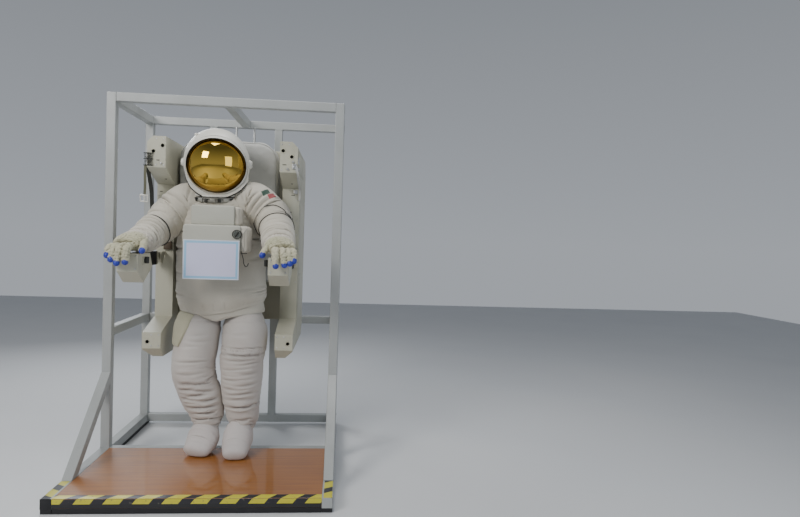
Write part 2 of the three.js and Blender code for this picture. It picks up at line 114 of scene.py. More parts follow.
def quarterTurn(steps):
    return np.linspace(0, np.pi / 2, steps)


def sweep(path, profile, closed=False, up=upward):
    # Carries a closed (k, 2) profile along a path. Its first number goes sideways, square to the
    # path and to up, and its second goes along the third direction.
    path = np.asarray(path, float)
    before = np.roll(path, 1, axis=0) if closed else np.vstack([2 * path[:1] - path[1:2], path[:-1]])
    after = np.roll(path, -1, axis=0) if closed else np.vstack([path[1:], 2 * path[-1:] - path[-2:-1]])
    ahead = unit(after - before)
    side = unit(np.cross(ahead, np.broadcast_to(np.asarray(up, float), ahead.shape)))
    over = np.cross(side, ahead)
    profile = np.asarray(profile, float)
    rings = path[:, None] + side[:, None] * profile[..., :1] + over[:, None] * profile[..., 1:]
    return gridShape(rings, loop=closed)


def splineThrough(rows, t, hold=False):
    # A Catmull-Rom curve through the rows, read at t from 0 to 1. Past its ends it runs straight on,
    # or holds the end value.
    rows = np.asarray(rows, float)
    before, after = rows[:1], rows[-1:]
    if not hold:
        before, after = 2 * before - rows[1:2], 2 * after - rows[-2:-1]
    padded = np.vstack([before, rows, after])
    place = np.clip(t, 0, 1) * (len(rows) - 1)
    i = np.minimum(place.astype(int), len(rows) - 2)
    w = (place - i)[:, None]
    a, b, c, d = (padded[i + k] for k in range(4))
    return b + 0.5 * w * (c - a + w * (2 * a - 5 * b + 4 * c - d + w * (3 * (b - c) + d - a)))


def splined(rows, count):
    return splineThrough(rows, np.linspace(0, 1, count))


def roundProfile(radius, sides=12):
    angle = circle(sides)
    return np.stack([radius * np.cos(angle), radius * np.sin(angle)], -1)


def roundProfiles(sizes, sides):
    # A round profile for each point of a path, each with its own radius
    return roundProfile(1.0, sides)[None] * sizes[:, None, None]


def tubeShape(path, radius, sides=8, closed=False, up=backward):
    return sweep(path, roundProfile(radius, sides), closed, up)


def turnedShape(profile, middle, axis, sides=32, closed=False):
    # Turns a profile of (radius, height) rows about an axis through the middle point. A closed
    # profile comes back to its first row.
    axis = unit(np.asarray(axis, float))
    helper = np.array([0, 0, 1.0]) if abs(axis[2]) < 0.9 else np.array([1.0, 0, 0])
    first = unit(np.cross(axis, helper))
    second = np.cross(axis, first)
    angle = circle(sides)
    around = np.cos(angle)[:, None] * first + np.sin(angle)[:, None] * second
    radius, height = np.asarray(profile + profile[:1] * closed, float).T
    return gridShape(np.asarray(middle) + radius[:, None, None] * around + height[:, None, None] * axis)


def easedDepth(low, high, radius, quarter):
    # Depths that leave both ends as a rounded edge does
    lean = radius * (1 - np.cos(quarter))
    return np.concatenate([low + lean, high - lean[::-1]])[:, None]


def roundedBox(low, high, radius, steps=4):
    # A box whose twelve edges are rounded: a rounded rectangle that shrinks at both ends of Y.
    low, high = np.asarray(low, float), np.asarray(high, float)
    quarter = quarterTurn(steps)
    angle = (quarter[None] + np.arange(4)[:, None] * np.pi / 2).ravel()
    cornerX = np.where(np.repeat([1, 0, 0, 1], steps), high[0] - radius, low[0] + radius)
    cornerZ = np.where(np.repeat([1, 1, 0, 0], steps), high[2] - radius, low[2] + radius)
    reach = radius * np.concatenate([np.sin(quarter), np.sin(quarter)[::-1]])[:, None]
    depth = easedDepth(low[1], high[1], radius, quarter)
    x, z = cornerX + reach * np.cos(angle), cornerZ + reach * np.sin(angle)
    return gridShape(np.stack([x, depth + 0 * angle, z], -1))


def prismShape(outline, low, high, round, steps):
    # An outline of (x, z) points carried along Y, with both end edges rounded inwards.
    outline = np.asarray(outline, float)
    quarter = quarterTurn(steps)
    inset = round * (1 - np.sin(quarter))
    flat = outline + np.concatenate([inset, inset[::-1]])[:, None, None] * inwardOf(outline)
    depth = easedDepth(low, high, round, quarter) + 0 * flat[..., 0]
    return gridShape(np.stack([flat[..., 0], depth, flat[..., 1]], -1))


def turnedAbout(points, axis, degrees):
    # Points turned about one axis through the origin, by the right-hand rule
    first, second = [1, 2, 0][axis], [2, 0, 1][axis]
    c, s = np.cos(np.radians(degrees)), np.sin(np.radians(degrees))
    turned = np.array(points, float)
    turned[..., first] = points[..., first] * c - points[..., second] * s
    turned[..., second] = points[..., first] * s + points[..., second] * c
    return turned


# Pieces

def linked(name, data):
    obj = bpy.data.objects.new(name, data)
    scene.collection.objects.link(obj)
    return obj


def meshOf(name, points, faces):
    mesh = bpy.data.meshes.new(name)
    mesh.from_pydata(points.tolist(), [], faces)
    return mesh


def reworked(mesh, merge=0.0, flatter=0.0, outward=True):
    # Merges points nearer than merge, dissolves edges flatter than some degrees, and turns every
    # face outward.
    work = bmesh.new()
    work.from_mesh(mesh)
    if merge:
        bmesh.ops.remove_doubles(work, verts=work.verts, dist=merge)
    if flatter:
        bmesh.ops.dissolve_limit(work, angle_limit=np.radians(flatter), verts=work.verts, edges=work.edges)
    if outward:
        bmesh.ops.recalc_face_normals(work, faces=work.faces)
    work.to_mesh(mesh)
    work.free()
    return mesh


def dress(obj, finish, body="display", slot=None, replaced=(), smooth=True):
    # Gives an object its finish and its body, and hides the CAD nodes that it replaces.
    material, usualSlot = finishes[finish]
    mesh = obj.data
    mesh.polygons.foreach_set("use_smooth", np.full(len(mesh.polygons), smooth))
    mesh.set_sharp_from_angle(angle=np.radians(40))
    mesh.materials.clear()
    mesh.materials.append(material)
    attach(obj, body)
    if replaced:
        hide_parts(*replaced)
    return obj


def makePiece(name, shapes, finish, outward=True, merge=0.0, **facts):
    return dress(linked(name, reworked(meshOf(name, *joinShapes(shapes)), merge, outward=outward)), finish, **facts)


def softPiece(name, shapes, finish, hollow=None, **facts):
    # A padded piece. Hollow says for each point how deep it lies in a fold, from 0 to 1, and the cloth finishes paint
    # shade by it.
    obj = makePiece(name, shapes, finish, **facts)
    if hollow is not None:
        depth = obj.data.attributes.new("hollow", "FLOAT", "POINT").data
        depth.foreach_set("value", hollow.astype(np.float32).ravel())
    return obj


def bevelledNode(node, finish, width=2.0, segments=2, body="display"):
    # The CAD node's own shape, with its sharp edges rounded to a width in millimetres.
    mesh = reworked(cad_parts[node].data.copy(), 0.00005, 0.5, False)
    obj = dress(linked(f"{node}_finished", mesh), finish, body, replaced=[node])
    bevel = obj.modifiers.new("edges", "BEVEL")
    bevel.width = width * mm
    bevel.segments = segments
    bevel.limit_method = "ANGLE"
    bevel.angle_limit = np.radians(30)
    bevel.harden_normals = True

# Materials

class Wire:
    # One output of a shader node. Arithmetic on it adds Math nodes to its material.
    def __init__(self, finish, output):
        self.finish = finish
        self.output = output

    def math(self, operation, *others):
        return self.finish.node("ShaderNodeMath", {"operation": operation}, dict(enumerate([self, *others])))

    def __add__(self, other):
        return self.math("ADD", other)

    def __sub__(self, other):
        return self.math("SUBTRACT", other)

    def __rsub__(self, other):
        return self.finish.node("ShaderNodeMath", {"operation": "SUBTRACT"}, {0: other, 1: self})

    def __mul__(self, other):
        return self.math("MULTIPLY", other)

    def __truediv__(self, other):
        return self.math("DIVIDE", other)

    def __gt__(self, other):
        return self.math("GREATER_THAN", other)

    def __lt__(self, other):
        return self.math("LESS_THAN", other)

    __radd__ = __add__
    __rmul__ = __mul__

    def between(self, low, high):
        # 0 below low, 1 above high, and a smooth step from one to the other.
        sockets = {"Value": self, "From Min": low, "From Max": high, "To Min": 0.0, "To Max": 1.0}
        return self.finish.node("ShaderNodeMapRange", {"interpolation_type": "SMOOTHSTEP"}, sockets)


class Finish:
    # A material with one Principled shader.
    def __init__(self, name, **constants):
        self.material = bpy.data.materials.new(name)
        self.material.use_nodes = True
        self.tree = self.material.node_tree
        self.shader = self.tree.nodes["Principled BSDF"]
        self.place = self.node("ShaderNodeTexCoord", {}, {}, "Object")
        self.set(**constants)

    def node(self, kind, settings, sockets, out=0):
        new = self.tree.nodes.new(kind)
        for key, value in settings.items():
            if key == "stops":
                ramp = new.color_ramp.elements
                while len(ramp) < len(value):
                    ramp.new(0.5)
                for element, (position, color) in zip(ramp, value):
                    element.position = position
                    element.color = (*color, 1)
            else:
                setattr(new, key, value)
        for key, value in sockets.items():
            self.feed(new.inputs[key], value)
        return Wire(self, new.outputs[out])

    def feed(self, socket, value):
        if isinstance(value, Wire):
            self.tree.links.new(value.output, socket)
        elif socket.type == "RGBA":
            socket.default_value = (*value, 1)
        else:
            socket.default_value = value

    def set(self, **values):
        for key, value in values.items():
            self.feed(self.shader.inputs[key.replace("_", " ")], value)
        return self

    def axis(self, letter):
        return self.node("ShaderNodeSeparateXYZ", {}, {0: self.place}, letter)

    def noise(self, scale, detail=3.0, stretch=(1.0, 1.0, 1.0), roughness=0.5):
        where = self.node("ShaderNodeVectorMath", {"operation": "MULTIPLY"}, {0: self.place, 1: stretch})
        sockets = {"Vector": where, "Scale": scale, "Detail": detail, "Roughness": roughness}
        return self.node("ShaderNodeTexNoise", {}, sockets)

    def mix(self, factor, first, second):
        return self.node("ShaderNodeMix", {"data_type": "RGBA"}, {0: factor, 6: first, 7: second}, 2)

    def ramp(self, factor, *stops):
        return self.node("ShaderNodeValToRGB", {"stops": stops}, {0: factor})

    def bump(self, height, distance, strength=1.0):
        sockets = {"Height": height, "Distance": distance, "Strength": strength}
        return self.set(Normal=self.node("ShaderNodeBump", {}, sockets))

    def attribute(self, name):
        return self.node("ShaderNodeAttribute", {"attribute_name": name}, {}, "Fac")


def paintFinish(name, color, dull, roughness=0.38, peel=0.00012):
    # Brushed or sprayed paint: a faint orange peel, worn and dusty patches, and a soft gloss.
    finish = Finish(name)
    patches = finish.noise(3.0, 5.0).between(0.45, 0.75)
    specks = finish.noise(60.0, 4.0).between(0.62, 0.74)
    shade = finish.mix(patches * 0.6 + specks * 0.25, color, dull)
    finish.set(Base_Color=shade, Roughness=roughness + patches * 0.14 + specks * 0.1)
    return finish.bump(finish.noise(180.0, 2.0), peel, 0.5).material


def clothFinish(name, color, shade, foldShadeColor, weave=900.0, sheen=0.25, cuff=None):
    # Woven cloth: two crossed sets of fine threads, a slow change of tone, and painted shade in the folds.
    # Behind the y of the cuff, where one is given, it has the suit's colour.
    finish = Finish(name, Sheen_Weight=sheen, Sheen_Roughness=0.5)
    slow = finish.noise(4.0, 3.0).between(0.35, 0.7)
    folds = finish.attribute("hollow")
    tone = finish.mix(slow, color, shade)
    if cuff is not None:
        tone = finish.mix(finish.axis("Y").between(cuff - 0.02, cuff + 0.02), tone, (0.57, 0.53, 0.46))
    warp = finish.noise(weave, 1.0, (1.0, 1.0, 0.12))
    weft = finish.noise(weave, 1.0, (0.12, 0.12, 1.0))
    threads = warp + weft
    # Painted shade: the deeper a point lies in a fold, the nearer it comes to the fold shade colour. The threads add
    # a faint grey.
    tone = finish.mix(folds * 0.8 + threads.between(0.9, 1.3) * 0.06, tone, foldShadeColor)
    finish.set(Base_Color=tone, Roughness=0.8 + slow * 0.1)
    return finish.bump(threads + finish.noise(120.0, 3.0) * 1.4, 0.0006, 0.55).material


def rubberFinish(name, color, roughness=0.6):
    finish = Finish(name)
    scuff = finish.noise(25.0, 6.0).between(0.5, 0.8)
    finish.set(Base_Color=finish.mix(scuff * 0.5, color, tuple(c * 1.6 + 0.02 for c in color)))
    finish.set(Roughness=roughness + scuff * 0.2)
    return finish.bump(finish.noise(300.0, 2.0), 0.0001, 0.4).material


def metalFinish(name, color, roughness=0.3, brush=(1.0, 1.0, 0.05)):
    finish = Finish(name, Metallic=1.0)
    grain = finish.noise(400.0, 2.0, brush)
    stain = finish.noise(12.0, 4.0).between(0.5, 0.8)
    finish.set(Base_Color=finish.mix(stain * 0.5, color, tuple(c * 0.7 for c in color)))
    finish.set(Roughness=roughness + grain * 0.12 + stain * 0.12)
    return finish.bump(grain, 0.00005, 0.3).material


def deckFinish(name):
    # Stained plywood under thick varnish. Its front edge is painted black.
    finish = Finish(name, Coat_Roughness=0.05)
    grain = finish.noise(9.0, 6.0, (0.35, 6.0, 6.0), 0.62)
    broad = finish.noise(1.6, 3.0, (1.0, 0.5, 1.0)).between(0.3, 0.7)
    stops = (0.28, (0.27, 0.085, 0.008)), (0.52, (0.40, 0.142, 0.014)), (0.75, (0.47, 0.18, 0.024))
    wood = finish.mix(broad * 0.45, finish.ramp(grain, *stops), (0.26, 0.09, 0.012))
    front = finish.axis("Y") < deckLow[1] + 0.0005
    finish.set(Base_Color=finish.mix(front, wood, black), Coat_Weight=0.9 - front * 0.6)
    finish.set(Roughness=0.34 + grain * 0.12 + front * 0.2)
    return finish.bump(grain, 0.0002, 0.15).material


def tapeFinish(name, along, across, shift=0.0):
    # Slanted stripes of one pitch. Along and across are the axes that the stripes run by.
    finish = Finish(name, Coat_Weight=0.3, Coat_Roughness=0.2)
    slant = sum((finish.axis(letter) * factor for letter, factor in across.items()), finish.axis(along) * 1.0)
    slant = (slant + (4.0 + shift)) / tape["pitch"]
    yellow = slant.math("FRACT") < tape["yellowShare"]
    wear = finish.noise(70.0, 6.0).between(0.6, 0.72)
    color = finish.mix(yellow, (0.012, 0.011, 0.016), (0.62, 0.56, 0.03))
    color = finish.mix(wear * 0.55, color, (0.17, 0.16, 0.11))
    finish.set(Base_Color=color, Roughness=0.42 + wear * 0.3)
    return finish.bump(finish.noise(90.0, 3.0), 0.0003, 0.3).material


def goldFinish(name):
    # A gold mirror coat on a moulded plastic visor, with a very slight waviness.
    finish = Finish(name, Metallic=1.0)
    haze = finish.noise(7.0, 4.0).between(0.5, 0.8)
    color = finish.mix(haze * 0.5, (0.66, 0.43, 0.075), (0.52, 0.31, 0.05))
    finish.set(Base_Color=color, Roughness=0.035 + haze * 0.05)
    return finish.bump(finish.noise(5.0, 2.0), 0.004, 0.12).material


def bubbleFinish(name):
    finish = Finish(name, Base_Color=(0.02, 0.018, 0.016), Roughness=0.12, Coat_Weight=0.5)
    return finish.bump(finish.noise(4.0), 0.0005, 0.2).material


def cardFinish(name):
    # A blank laminated sheet: pale lilac inside a light blue border, in clear film. Edge is how far
    # a place is past the card's edge.
    finish = Finish(name, Coat_Weight=0.8, Coat_Roughness=0.08)
    low, high = boxOf("sign_card")
    middle, half = (low + high) / 2, (high - low) / 2
    sideways, above = ((finish.axis("XYZ"[k]) - middle[k]).math("ABSOLUTE") - half[k] for k in (0, 2))
    edge = sideways.math("MAXIMUM", above)
    border = (edge > -card["border"]) * (edge < -card["film"])
    color = finish.mix(border, (0.66, 0.66, 0.86), (0.30, 0.56, 0.80))
    color = finish.mix(edge > -card["film"], color, (0.74, 0.76, 0.84))
    color = finish.mix(finish.noise(5.0, 3.0).between(0.4, 0.7) * 0.12, color, (0.52, 0.58, 0.78))
    finish.set(Base_Color=color, Roughness=0.4 + border * 0.1)
    return finish.bump(finish.noise(14.0, 2.0), 0.001, 0.2).material


tape = {"pitch": 0.130, "yellowShare": 0.57, "top": 0.043, "down": 0.025, "thick": 0.0006}
card = {"border": 0.017, "film": 0.005}
deckLow, deckHigh = boxOf("deck")

# Each finish by name: the function that makes it, the slot that it usually goes in, and then what that
# function asks for, such as its colours
black = (0.012, 0.012, 0.014)
finishTable = {
    "framePaint": (paintFinish, "frame_paint", (0.40, 0.415, 0.41), (0.29, 0.295, 0.285), 0.36),
    "blackRubber": (rubberFinish, "black_rubber", black),
    "varnishedDeck": (deckFinish, "deck_panel"),
    "creamPaint": (paintFinish, "backpack_shell", (0.50, 0.485, 0.385), (0.38, 0.37, 0.28), 0.42),
    "helmetPaint": (paintFinish, "helmet_white", (0.70, 0.69, 0.635), (0.55, 0.53, 0.46), 0.33),
    "chestPaint": (paintFinish, "chest_pack_grey", (0.47, 0.465, 0.40), (0.38, 0.375, 0.32), 0.55),
    # The third colour of each cloth is the painted shade in its folds
    "suitCloth": (clothFinish, "suit_fabric", (0.57, 0.54, 0.465), (0.50, 0.465, 0.39), (0.24, 0.21, 0.165)),
    # The legs' copy of the suit cloth is lighter and more lilac: a painted tint of the cool light on the legs
    "legCloth": (clothFinish, "suit_fabric", (0.59, 0.555, 0.515), (0.53, 0.48, 0.445), (0.26, 0.225, 0.20)),
    # The glove's third colour is nearly black: painted shade for the folds and the gaps between the fingers
    "gloveCloth": (clothFinish, "glove_fabric", (0.53, 0.50, 0.365), (0.43, 0.42, 0.28), (0.12, 0.105, 0.06),
                   700.0, 0.25, -0.415),
    "bootCloth": (clothFinish, "boot_fabric", (0.66, 0.62, 0.60), (0.60, 0.56, 0.54), (0.34, 0.31, 0.29)),
    "packCloth": (clothFinish, "pack_cover", (0.50, 0.50, 0.475), (0.44, 0.44, 0.42), (0.26, 0.26, 0.25),
                  1200.0, 0.15),
    "pocketCloth": (clothFinish, "suit_fabric", (0.52, 0.49, 0.36), (0.44, 0.42, 0.30), (0.24, 0.22, 0.15)),
    # Black rubber for the gaskets and piping, and painted shade for the holes and slots
    "gasketRubber": (rubberFinish, "black_rubber", (0.008, 0.008, 0.008), 0.4),
    "blueRubber": (rubberFinish, "glove_fabric", (0.02, 0.035, 0.36), 0.35),
    "zincSteel": (metalFinish, "bare_steel", (0.56, 0.56, 0.55), 0.34),
    "collarMetal": (metalFinish, "collar_metal", (0.34, 0.33, 0.30), 0.48, (0.05, 0.05, 1.0)),
    "darkMetal": (metalFinish, "black_rubber", (0.06, 0.06, 0.055), 0.45),
    "clampMetal": (metalFinish, "bare_steel", (0.40, 0.39, 0.35), 0.5),
    "leatherBrown": (rubberFinish, "black_rubber", (0.075, 0.050, 0.028), 0.55),
    "goldMirror": (goldFinish, "gold_mirror"),
    "darkBubble": (bubbleFinish, "dark_bubble"),
    "laminatedCard": (cardFinish, "laminated_card"),
    "oliveWeb": (clothFinish, "pack_cover", (0.17, 0.165, 0.11), (0.12, 0.12, 0.08), (0.05, 0.05, 0.035)),
    "packPiping": (clothFinish, "pack_cover", (0.33, 0.33, 0.31), (0.28, 0.28, 0.26), (0.14, 0.14, 0.13)),
    "dialPaint": (paintFinish, "black_rubber", (0.075, 0.085, 0.075), (0.05, 0.055, 0.05), 0.5),
    "greenPatch": (clothFinish, "suit_fabric", (0.03, 0.07, 0.05), (0.05, 0.10, 0.07), (0.01, 0.02, 0.015)),
    "redPatch": (clothFinish, "suit_fabric", (0.36, 0.05, 0.06), (0.42, 0.10, 0.10), (0.12, 0.02, 0.02)),
    "frontTape": (tapeFinish, "black_rubber", "X", {"Y": -0.8, "Z": -0.8}),
    "leftTape": (tapeFinish, "black_rubber", "Y", {"X": 0.6, "Z": 0.6}, 0.02),
    "rightTape": (tapeFinish, "black_rubber", "Y", {"X": -0.6, "Z": 0.6}, 0.06),
}
finishes = {name: (make(name, *values), slot) for name, (make, slot, *values) in finishTable.items()}
print("materials made")

# The stand's tubes keep their CAD shape, with rounded corners.
tubes = ("base_rail", "front_post", "rear_post", "top_rail", "middle_rail", "rear_upright", "rear_middle_rail",
         "brace")
for node in sorted(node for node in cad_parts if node.startswith(tubes)):
    bevelledNode(node, "framePaint", 4.0, 3)
for node in ("base_strip_left", "base_strip_right", "front_skirt"):
    bevelledNode(node, "blackRubber", 2.5)
bevelledNode("deck", "varnishedDeck", 2.0, 3)


def foldedStrip(name, start, end, outward, finish):
    # Tape along one edge of the stand: flat on top, round over the edge, and down the outer face.
    # The path runs along the sharp edge, and outward is the way of the outer face.
    lift = thick = tape["thick"]
    turn = quarterTurn(5)
    radius = 0.004 + lift
    across = np.concatenate([[-tape["top"]], -radius + radius * np.sin(turn), [0.0]]) + lift
    height = np.concatenate([[0.0], -radius + radius * np.cos(turn), [-tape["down"]]]) + lift
    outer = np.stack([across, height], -1)
    inner = outer - thick * np.array([[0, 1]] + [[np.sin(a), np.cos(a)] for a in turn] + [[1, 0]])
    profile = np.vstack([outer, inner[::-1]])
    ends = np.array([start, end], float)
    rings = ends[:, None] + profile[:, :1] * np.array(outward, float) + profile[:, 1:] * np.array([0, 0, 1.0])
    makePiece(name, [gridShape(rings)], finish)


# Yellow and black tape along the front of the deck, and back towards the foot of each brace
frontY = cadBox[0][1]
railLow, railHigh = boxOf("base_rail_left")
edgeZ = railHigh[2]
braceFoot = boxOf("brace_left")[0][1]
foldedStrip("hazard_tape_front", (deckLow[0], frontY, edgeZ), (deckHigh[0], frontY, edgeZ), frontward, "frontTape")
for side, sign in mirrored:
    outerX = sign * cadBox[1][0]
    foldedStrip(f"hazard_tape_{side}", (outerX, frontY + 0.001, edgeZ), (outerX, braceFoot - 0.002, edgeZ),
                (sign, 0, 0), f"{side}Tape")

# The left rail's front end is wrapped in black tape; the right one shows its bare paint.
wrapThick = 0.0008
wrap = roundedBox((railLow[0] - wrapThick, frontY - wrapThick, railLow[2]),
                  (railHigh[0] + 0.0002, frontY + 0.0004, railHigh[2] + wrapThick), 0.0006, 3)
makePiece("rail_end_wrap", [wrap], "blackRubber")

weld = {"radius": 0.0028, "pitch": 0.0035, "swell": 0.18, "half": 0.0245}


def weldBead(start, end):
    # A run of weld: a thin bar whose size swells and shrinks with each ripple.
    length = np.linalg.norm(end - start)
    t = np.linspace(0, 1, max(int(length / weld["pitch"] * 3), 6))
    size = weld["radius"] * (1 + weld["swell"] * np.sin(2 * np.pi * t * length / weld["pitch"]))
    up = upward if abs((end - start)[2]) < 0.5 * length else backward
    return sweep(start + t[:, None] * (end - start), roundProfiles(size, 6), up=up)


def weldSquare(center, axis):
    # Weld round the square joint where a tube that runs along the axis meets the side of another.
    first, second = (weld["half"] * np.eye(3)[i] for i in range(3) if i != axis)
    corners = [center + a * first + b * second for a, b in ((-1, -1), (1, -1), (1, 1), (-1, 1))]
    return [weldBead(corners[i], corners[(i + 1) % 4]) for i in range(4)]


# The tubes that end in welds, by the axis that they run along
weldedTubes = {
    0: ("top_rail_front", "top_rail_rear", "rear_middle_rail_left", "rear_middle_rail_right",
        "base_rail_middle", "base_rail_rear"),
    1: ("top_rail_left", "top_rail_right", "top_rail_centre", "middle_rail_left", "middle_rail_right"),
    2: ("rear_upright_left", "rear_upright_right", "front_post_left", "front_post_right",
        "rear_post_left", "rear_post_right"),
}
welds = []
for axis, nodes in weldedTubes.items():
    for node in nodes:
        low, high = boxOf(node)
        for end in (-1,) if "post" in node else (-1, 1):
            welds += weldSquare((low + high) / 2 + end * (high - low)[axis] / 2 * np.eye(3)[axis], axis)
makePiece("weld_beads", welds, "framePaint", outward=False)
print("stand done")


# Jet backpack. Towers, control arms and body keep their CAD shape; the small fittings are added.
for node in ("tower_left", "tower_right", "pack_body", "control_arm_left", "control_arm_right"):
    bevelledNode(node, "creamPaint", 3.5, 3, node if "arm" in node else "display")
for node in ("mount_bracket", "hanger_left", "hanger_right"):
    bevelledNode(node, "zincSteel", 1.5)

towerLow, towerHigh = boxOf("tower_right")
tower = {"inner": towerLow[0], "outer": towerHigh[0], "front": -0.110, "column": 0.095, "lowerFront": towerLow[1]}
# Thruster nozzles and screws on the front faces: inward from the tower's edge, height, and the face
nozzles = [(0.017, 1.760, "front"), (0.065, 1.728, "front"), (0.071, 0.690, "lowerFront")]
frontScrews = [(0.010, 1.654, "front"), (0.050, 1.654, "front"), (0.088, 1.654, "front"), (0.010, 1.796, "front"),
               (0.050, 1.796, "front"), (0.012, 0.668, "lowerFront"), (0.050, 0.668, "lowerFront"),
               (0.012, 0.728, "lowerFront"), (0.050, 0.728, "lowerFront")]
# Cover plates on the outer side: from and to, along Y and up Z
covers = [(0.122, 0.600, 0.700, 1.060), (0.122, 0.600, 1.085, 1.480), (-0.070, 0.500, 1.652, 1.760)]


def screwHead(middle, axis, radius=0.0045):
    rows = [(0, 0.0016), (0.55, 0.0016), (0.6, 0.0009), (0.66, 0.0016), (0.9, 0.0012), (1, 0.0004), (1, -0.001),
            (0, -0.001)]
    return turnedShape([(max(radius * share, 0.0001), height) for share, height in rows], middle, axis, 14)


def holeShadeDisc(middle, axis, radius, rim, sides):
    # A shallow dark disc with a soft rim: painted shade where a hole is
    rows = [(0.0001, 0.0008), (radius, 0.0008), (rim, 0.0002), (rim, -0.003), (0.0001, -0.003)]
    return turnedShape(rows, middle, axis, sides)


def coverPlate(y0, y1, z0, z1, x, sign, radius=0.012, height=0.0022):
    # A cover plate with round corners, proud of the outer side at x.
    corners = ((y1, z1), (y0, z1), (y0, z0), (y1, z0))
    outline = [(y - np.sign(y - (y0 + y1) / 2) * radius + radius * np.cos(a + k * np.pi / 2),
                z - np.sign(z - (z0 + z1) / 2) * radius + radius * np.sin(a + k * np.pi / 2))
               for k, (y, z) in enumerate(corners) for a in quarterTurn(5)]
    points, faces = prismShape(outline, 0.0, height + 0.001, 0.0012, 3)
    along, out, above = points.T
    return np.stack([x + sign * (height - out), along, above], -1), faces


bell = [(0.0086, -0.012), (0.0096, 0.0), (0.0104, 0.0016), (0.0128, 0.0018), (0.0138, 0.0006), (0.0138, -0.0004),
        (0.0100, -0.0004), (0.0090, -0.012)]
throat = [(0.0001, -0.0285), (0.0042, -0.0285), (0.0050, -0.020), (0.0088, -0.004), (0.0094, -0.004),
          (0.0096, -0.0295), (0.0001, -0.0295)]
for side, sign in mirrored:
    inner, outer = sign * tower["inner"], sign * tower["outer"]
    places = [(inner + sign * inward, tower[face], z) for inward, z, face in nozzles]
    screws = [screwHead((inner + sign * inward, tower[face], z), frontward) for inward, z, face in frontScrews]
    screws += [screwHead((outer, y, z), (sign, 0, 0), 0.0055)
               for y in (0.14, 0.36, 0.58) for z in (0.72, 0.95, 1.20, 1.45, 1.70)]
    screws += [screwHead((outer - sign * 0.010, tower["column"], z), frontward, 0.0035)
               for z in (1.02, 1.22, 1.30, 1.38, 1.50)]
    makePiece(f"nozzle_rims_{side}", [turnedShape(bell, at, frontward, 28, True) for at in places], "creamPaint")
    makePiece(f"nozzle_throats_{side}", [turnedShape(throat, at, frontward, 24) for at in places], "darkMetal")
    makePiece(f"tower_screws_{side}", screws, "zincSteel")
    makePiece(f"tower_covers_{side}", [coverPlate(*cover, outer, sign) for cover in covers], "creamPaint")

# Left tower: a dark spring latch on the outer front edge, with a black strap and an olive webbing
# under it that ends in a pale buckle. Right tower: brackets and a pale strap. Both: dark boxes of painted
# shade for the slots in the pods and columns. Offsets are from each tower's outer front edge, and heights are above
# the floor.
leftEdge = np.array([-tower["outer"], tower["front"], 0.0])
rightEdge = np.array([tower["outer"], tower["front"], 0.0])


def strapShape(edge, offsets, width, thick):
    # A flat strap along offsets from an edge, with its broad sides to the front and back
    flat = [(-width, -thick), (width, -thick), (width, thick), (-width, thick)]
    return sweep(splined(edge + offsets, 24), flat, up=backward)


latch = []
for k in range(5):
    x, lean = -0.008 + 0.0085 * k, 0.006 + 0.002 * np.sin(2.1 * k)
    for sway, low, high in ((lean, -0.004, -0.005), (-lean, -0.006, -0.006)):
        latch.append(tubeShape(leftEdge + [(x - sway, low, 1.650), (x + sway, high, 1.716)], 0.0013))
for z in (1.650, 1.684, 1.716):
    latch.append(tubeShape(leftEdge + [(-0.016, -0.005, z), (0.034, -0.005, z)], 0.0024, 10, up=upward))
latch.append(strapShape(leftEdge, [(-0.004, 0.030, 1.648), (-0.010, 0.080, 1.600), (-0.012, 0.130, 1.530),
                                   (-0.012, 0.150, 1.450), (-0.010, 0.156, 1.390)], 0.011, 0.0012))
makePiece("tower_latch_left", latch, "darkMetal")
webbing = [(-0.006, -0.003, 1.652), (-0.010, 0.006, 1.600), (-0.016, 0.030, 1.540), (-0.026, 0.058, 1.492)]
makePiece("tower_webbing", [strapShape(leftEdge, webbing, 0.007, 0.0010)], "oliveWeb")
strap = [(-0.014, -0.004, 1.690), (-0.004, -0.005, 1.664), (0.002, 0.004, 1.630), (0.003, 0.060, 1.596),
         (0.003, 0.170, 1.560), (0.002, 0.198, 1.500)]
makePiece("tower_strap", [strapShape(rightEdge, strap, 0.006, 0.0008)], "packCloth")
buckle = [(-0.049, 0.058, 1.492), (-0.010, 0.056, 1.490), (-0.007, 0.056, 1.455), (-0.046, 0.058, 1.456)]
tongue = [(-0.029, 0.057, 1.491), (-0.027, 0.057, 1.456)]
makePiece("tower_buckle", [tubeShape(leftEdge + buckle, 0.0052, closed=True), tubeShape(leftEdge + tongue, 0.0026)],
          "helmetPaint", slot="bare_steel")
slotTable = [(-0.347, "front", 1.680, 0.009), (0.333, "front", 1.683, 0.011), (-0.383, "column", 1.524, 0.008),
             (0.369, "column", 1.530, 0.011), (-0.333, "column", 1.524, 0.010)]
slots = [roundedBox((x - half, tower[face] - 0.0012, z - 0.0022), (x + half, tower[face] + 0.002, z + 0.0022),
                    0.001, 3) for x, face, z, half in slotTable]
dents = [holeShadeDisc((x, 0.030, 1.5904), (0, -0.34, -0.94), 0.005, 0.0058, 18) for x in (-0.340, 0.366)]
makePiece("tower_slot_shades", slots + dents, "gasketRubber")
knob = [(0.0001, 0.008), (0.005, 0.008), (0.0065, 0.006), (0.0065, -0.001), (0.0001, -0.001)]
knobs = [turnedShape(knob, (x, tower["front"], z), frontward, 20)
         for x, z in ((-0.330, 1.664), (0.350, 1.660), (0.380, 1.700))]
brackets = [roundedBox(rightEdge + low, rightEdge + high, 0.002, 3) for low, high in (
    ((-0.030, -0.007, 1.660), (-0.008, 0.001, 1.690)), ((-0.024, -0.011, 1.668), (-0.014, -0.005, 1.680)),
    ((-0.001, 0.020, 1.690), (0.006, 0.050, 1.730)), ((-0.001, 0.025, 1.655), (0.008, 0.045, 1.672)),
    ((-0.034, 0.193, 1.538), (-0.010, 0.206, 1.560)))]
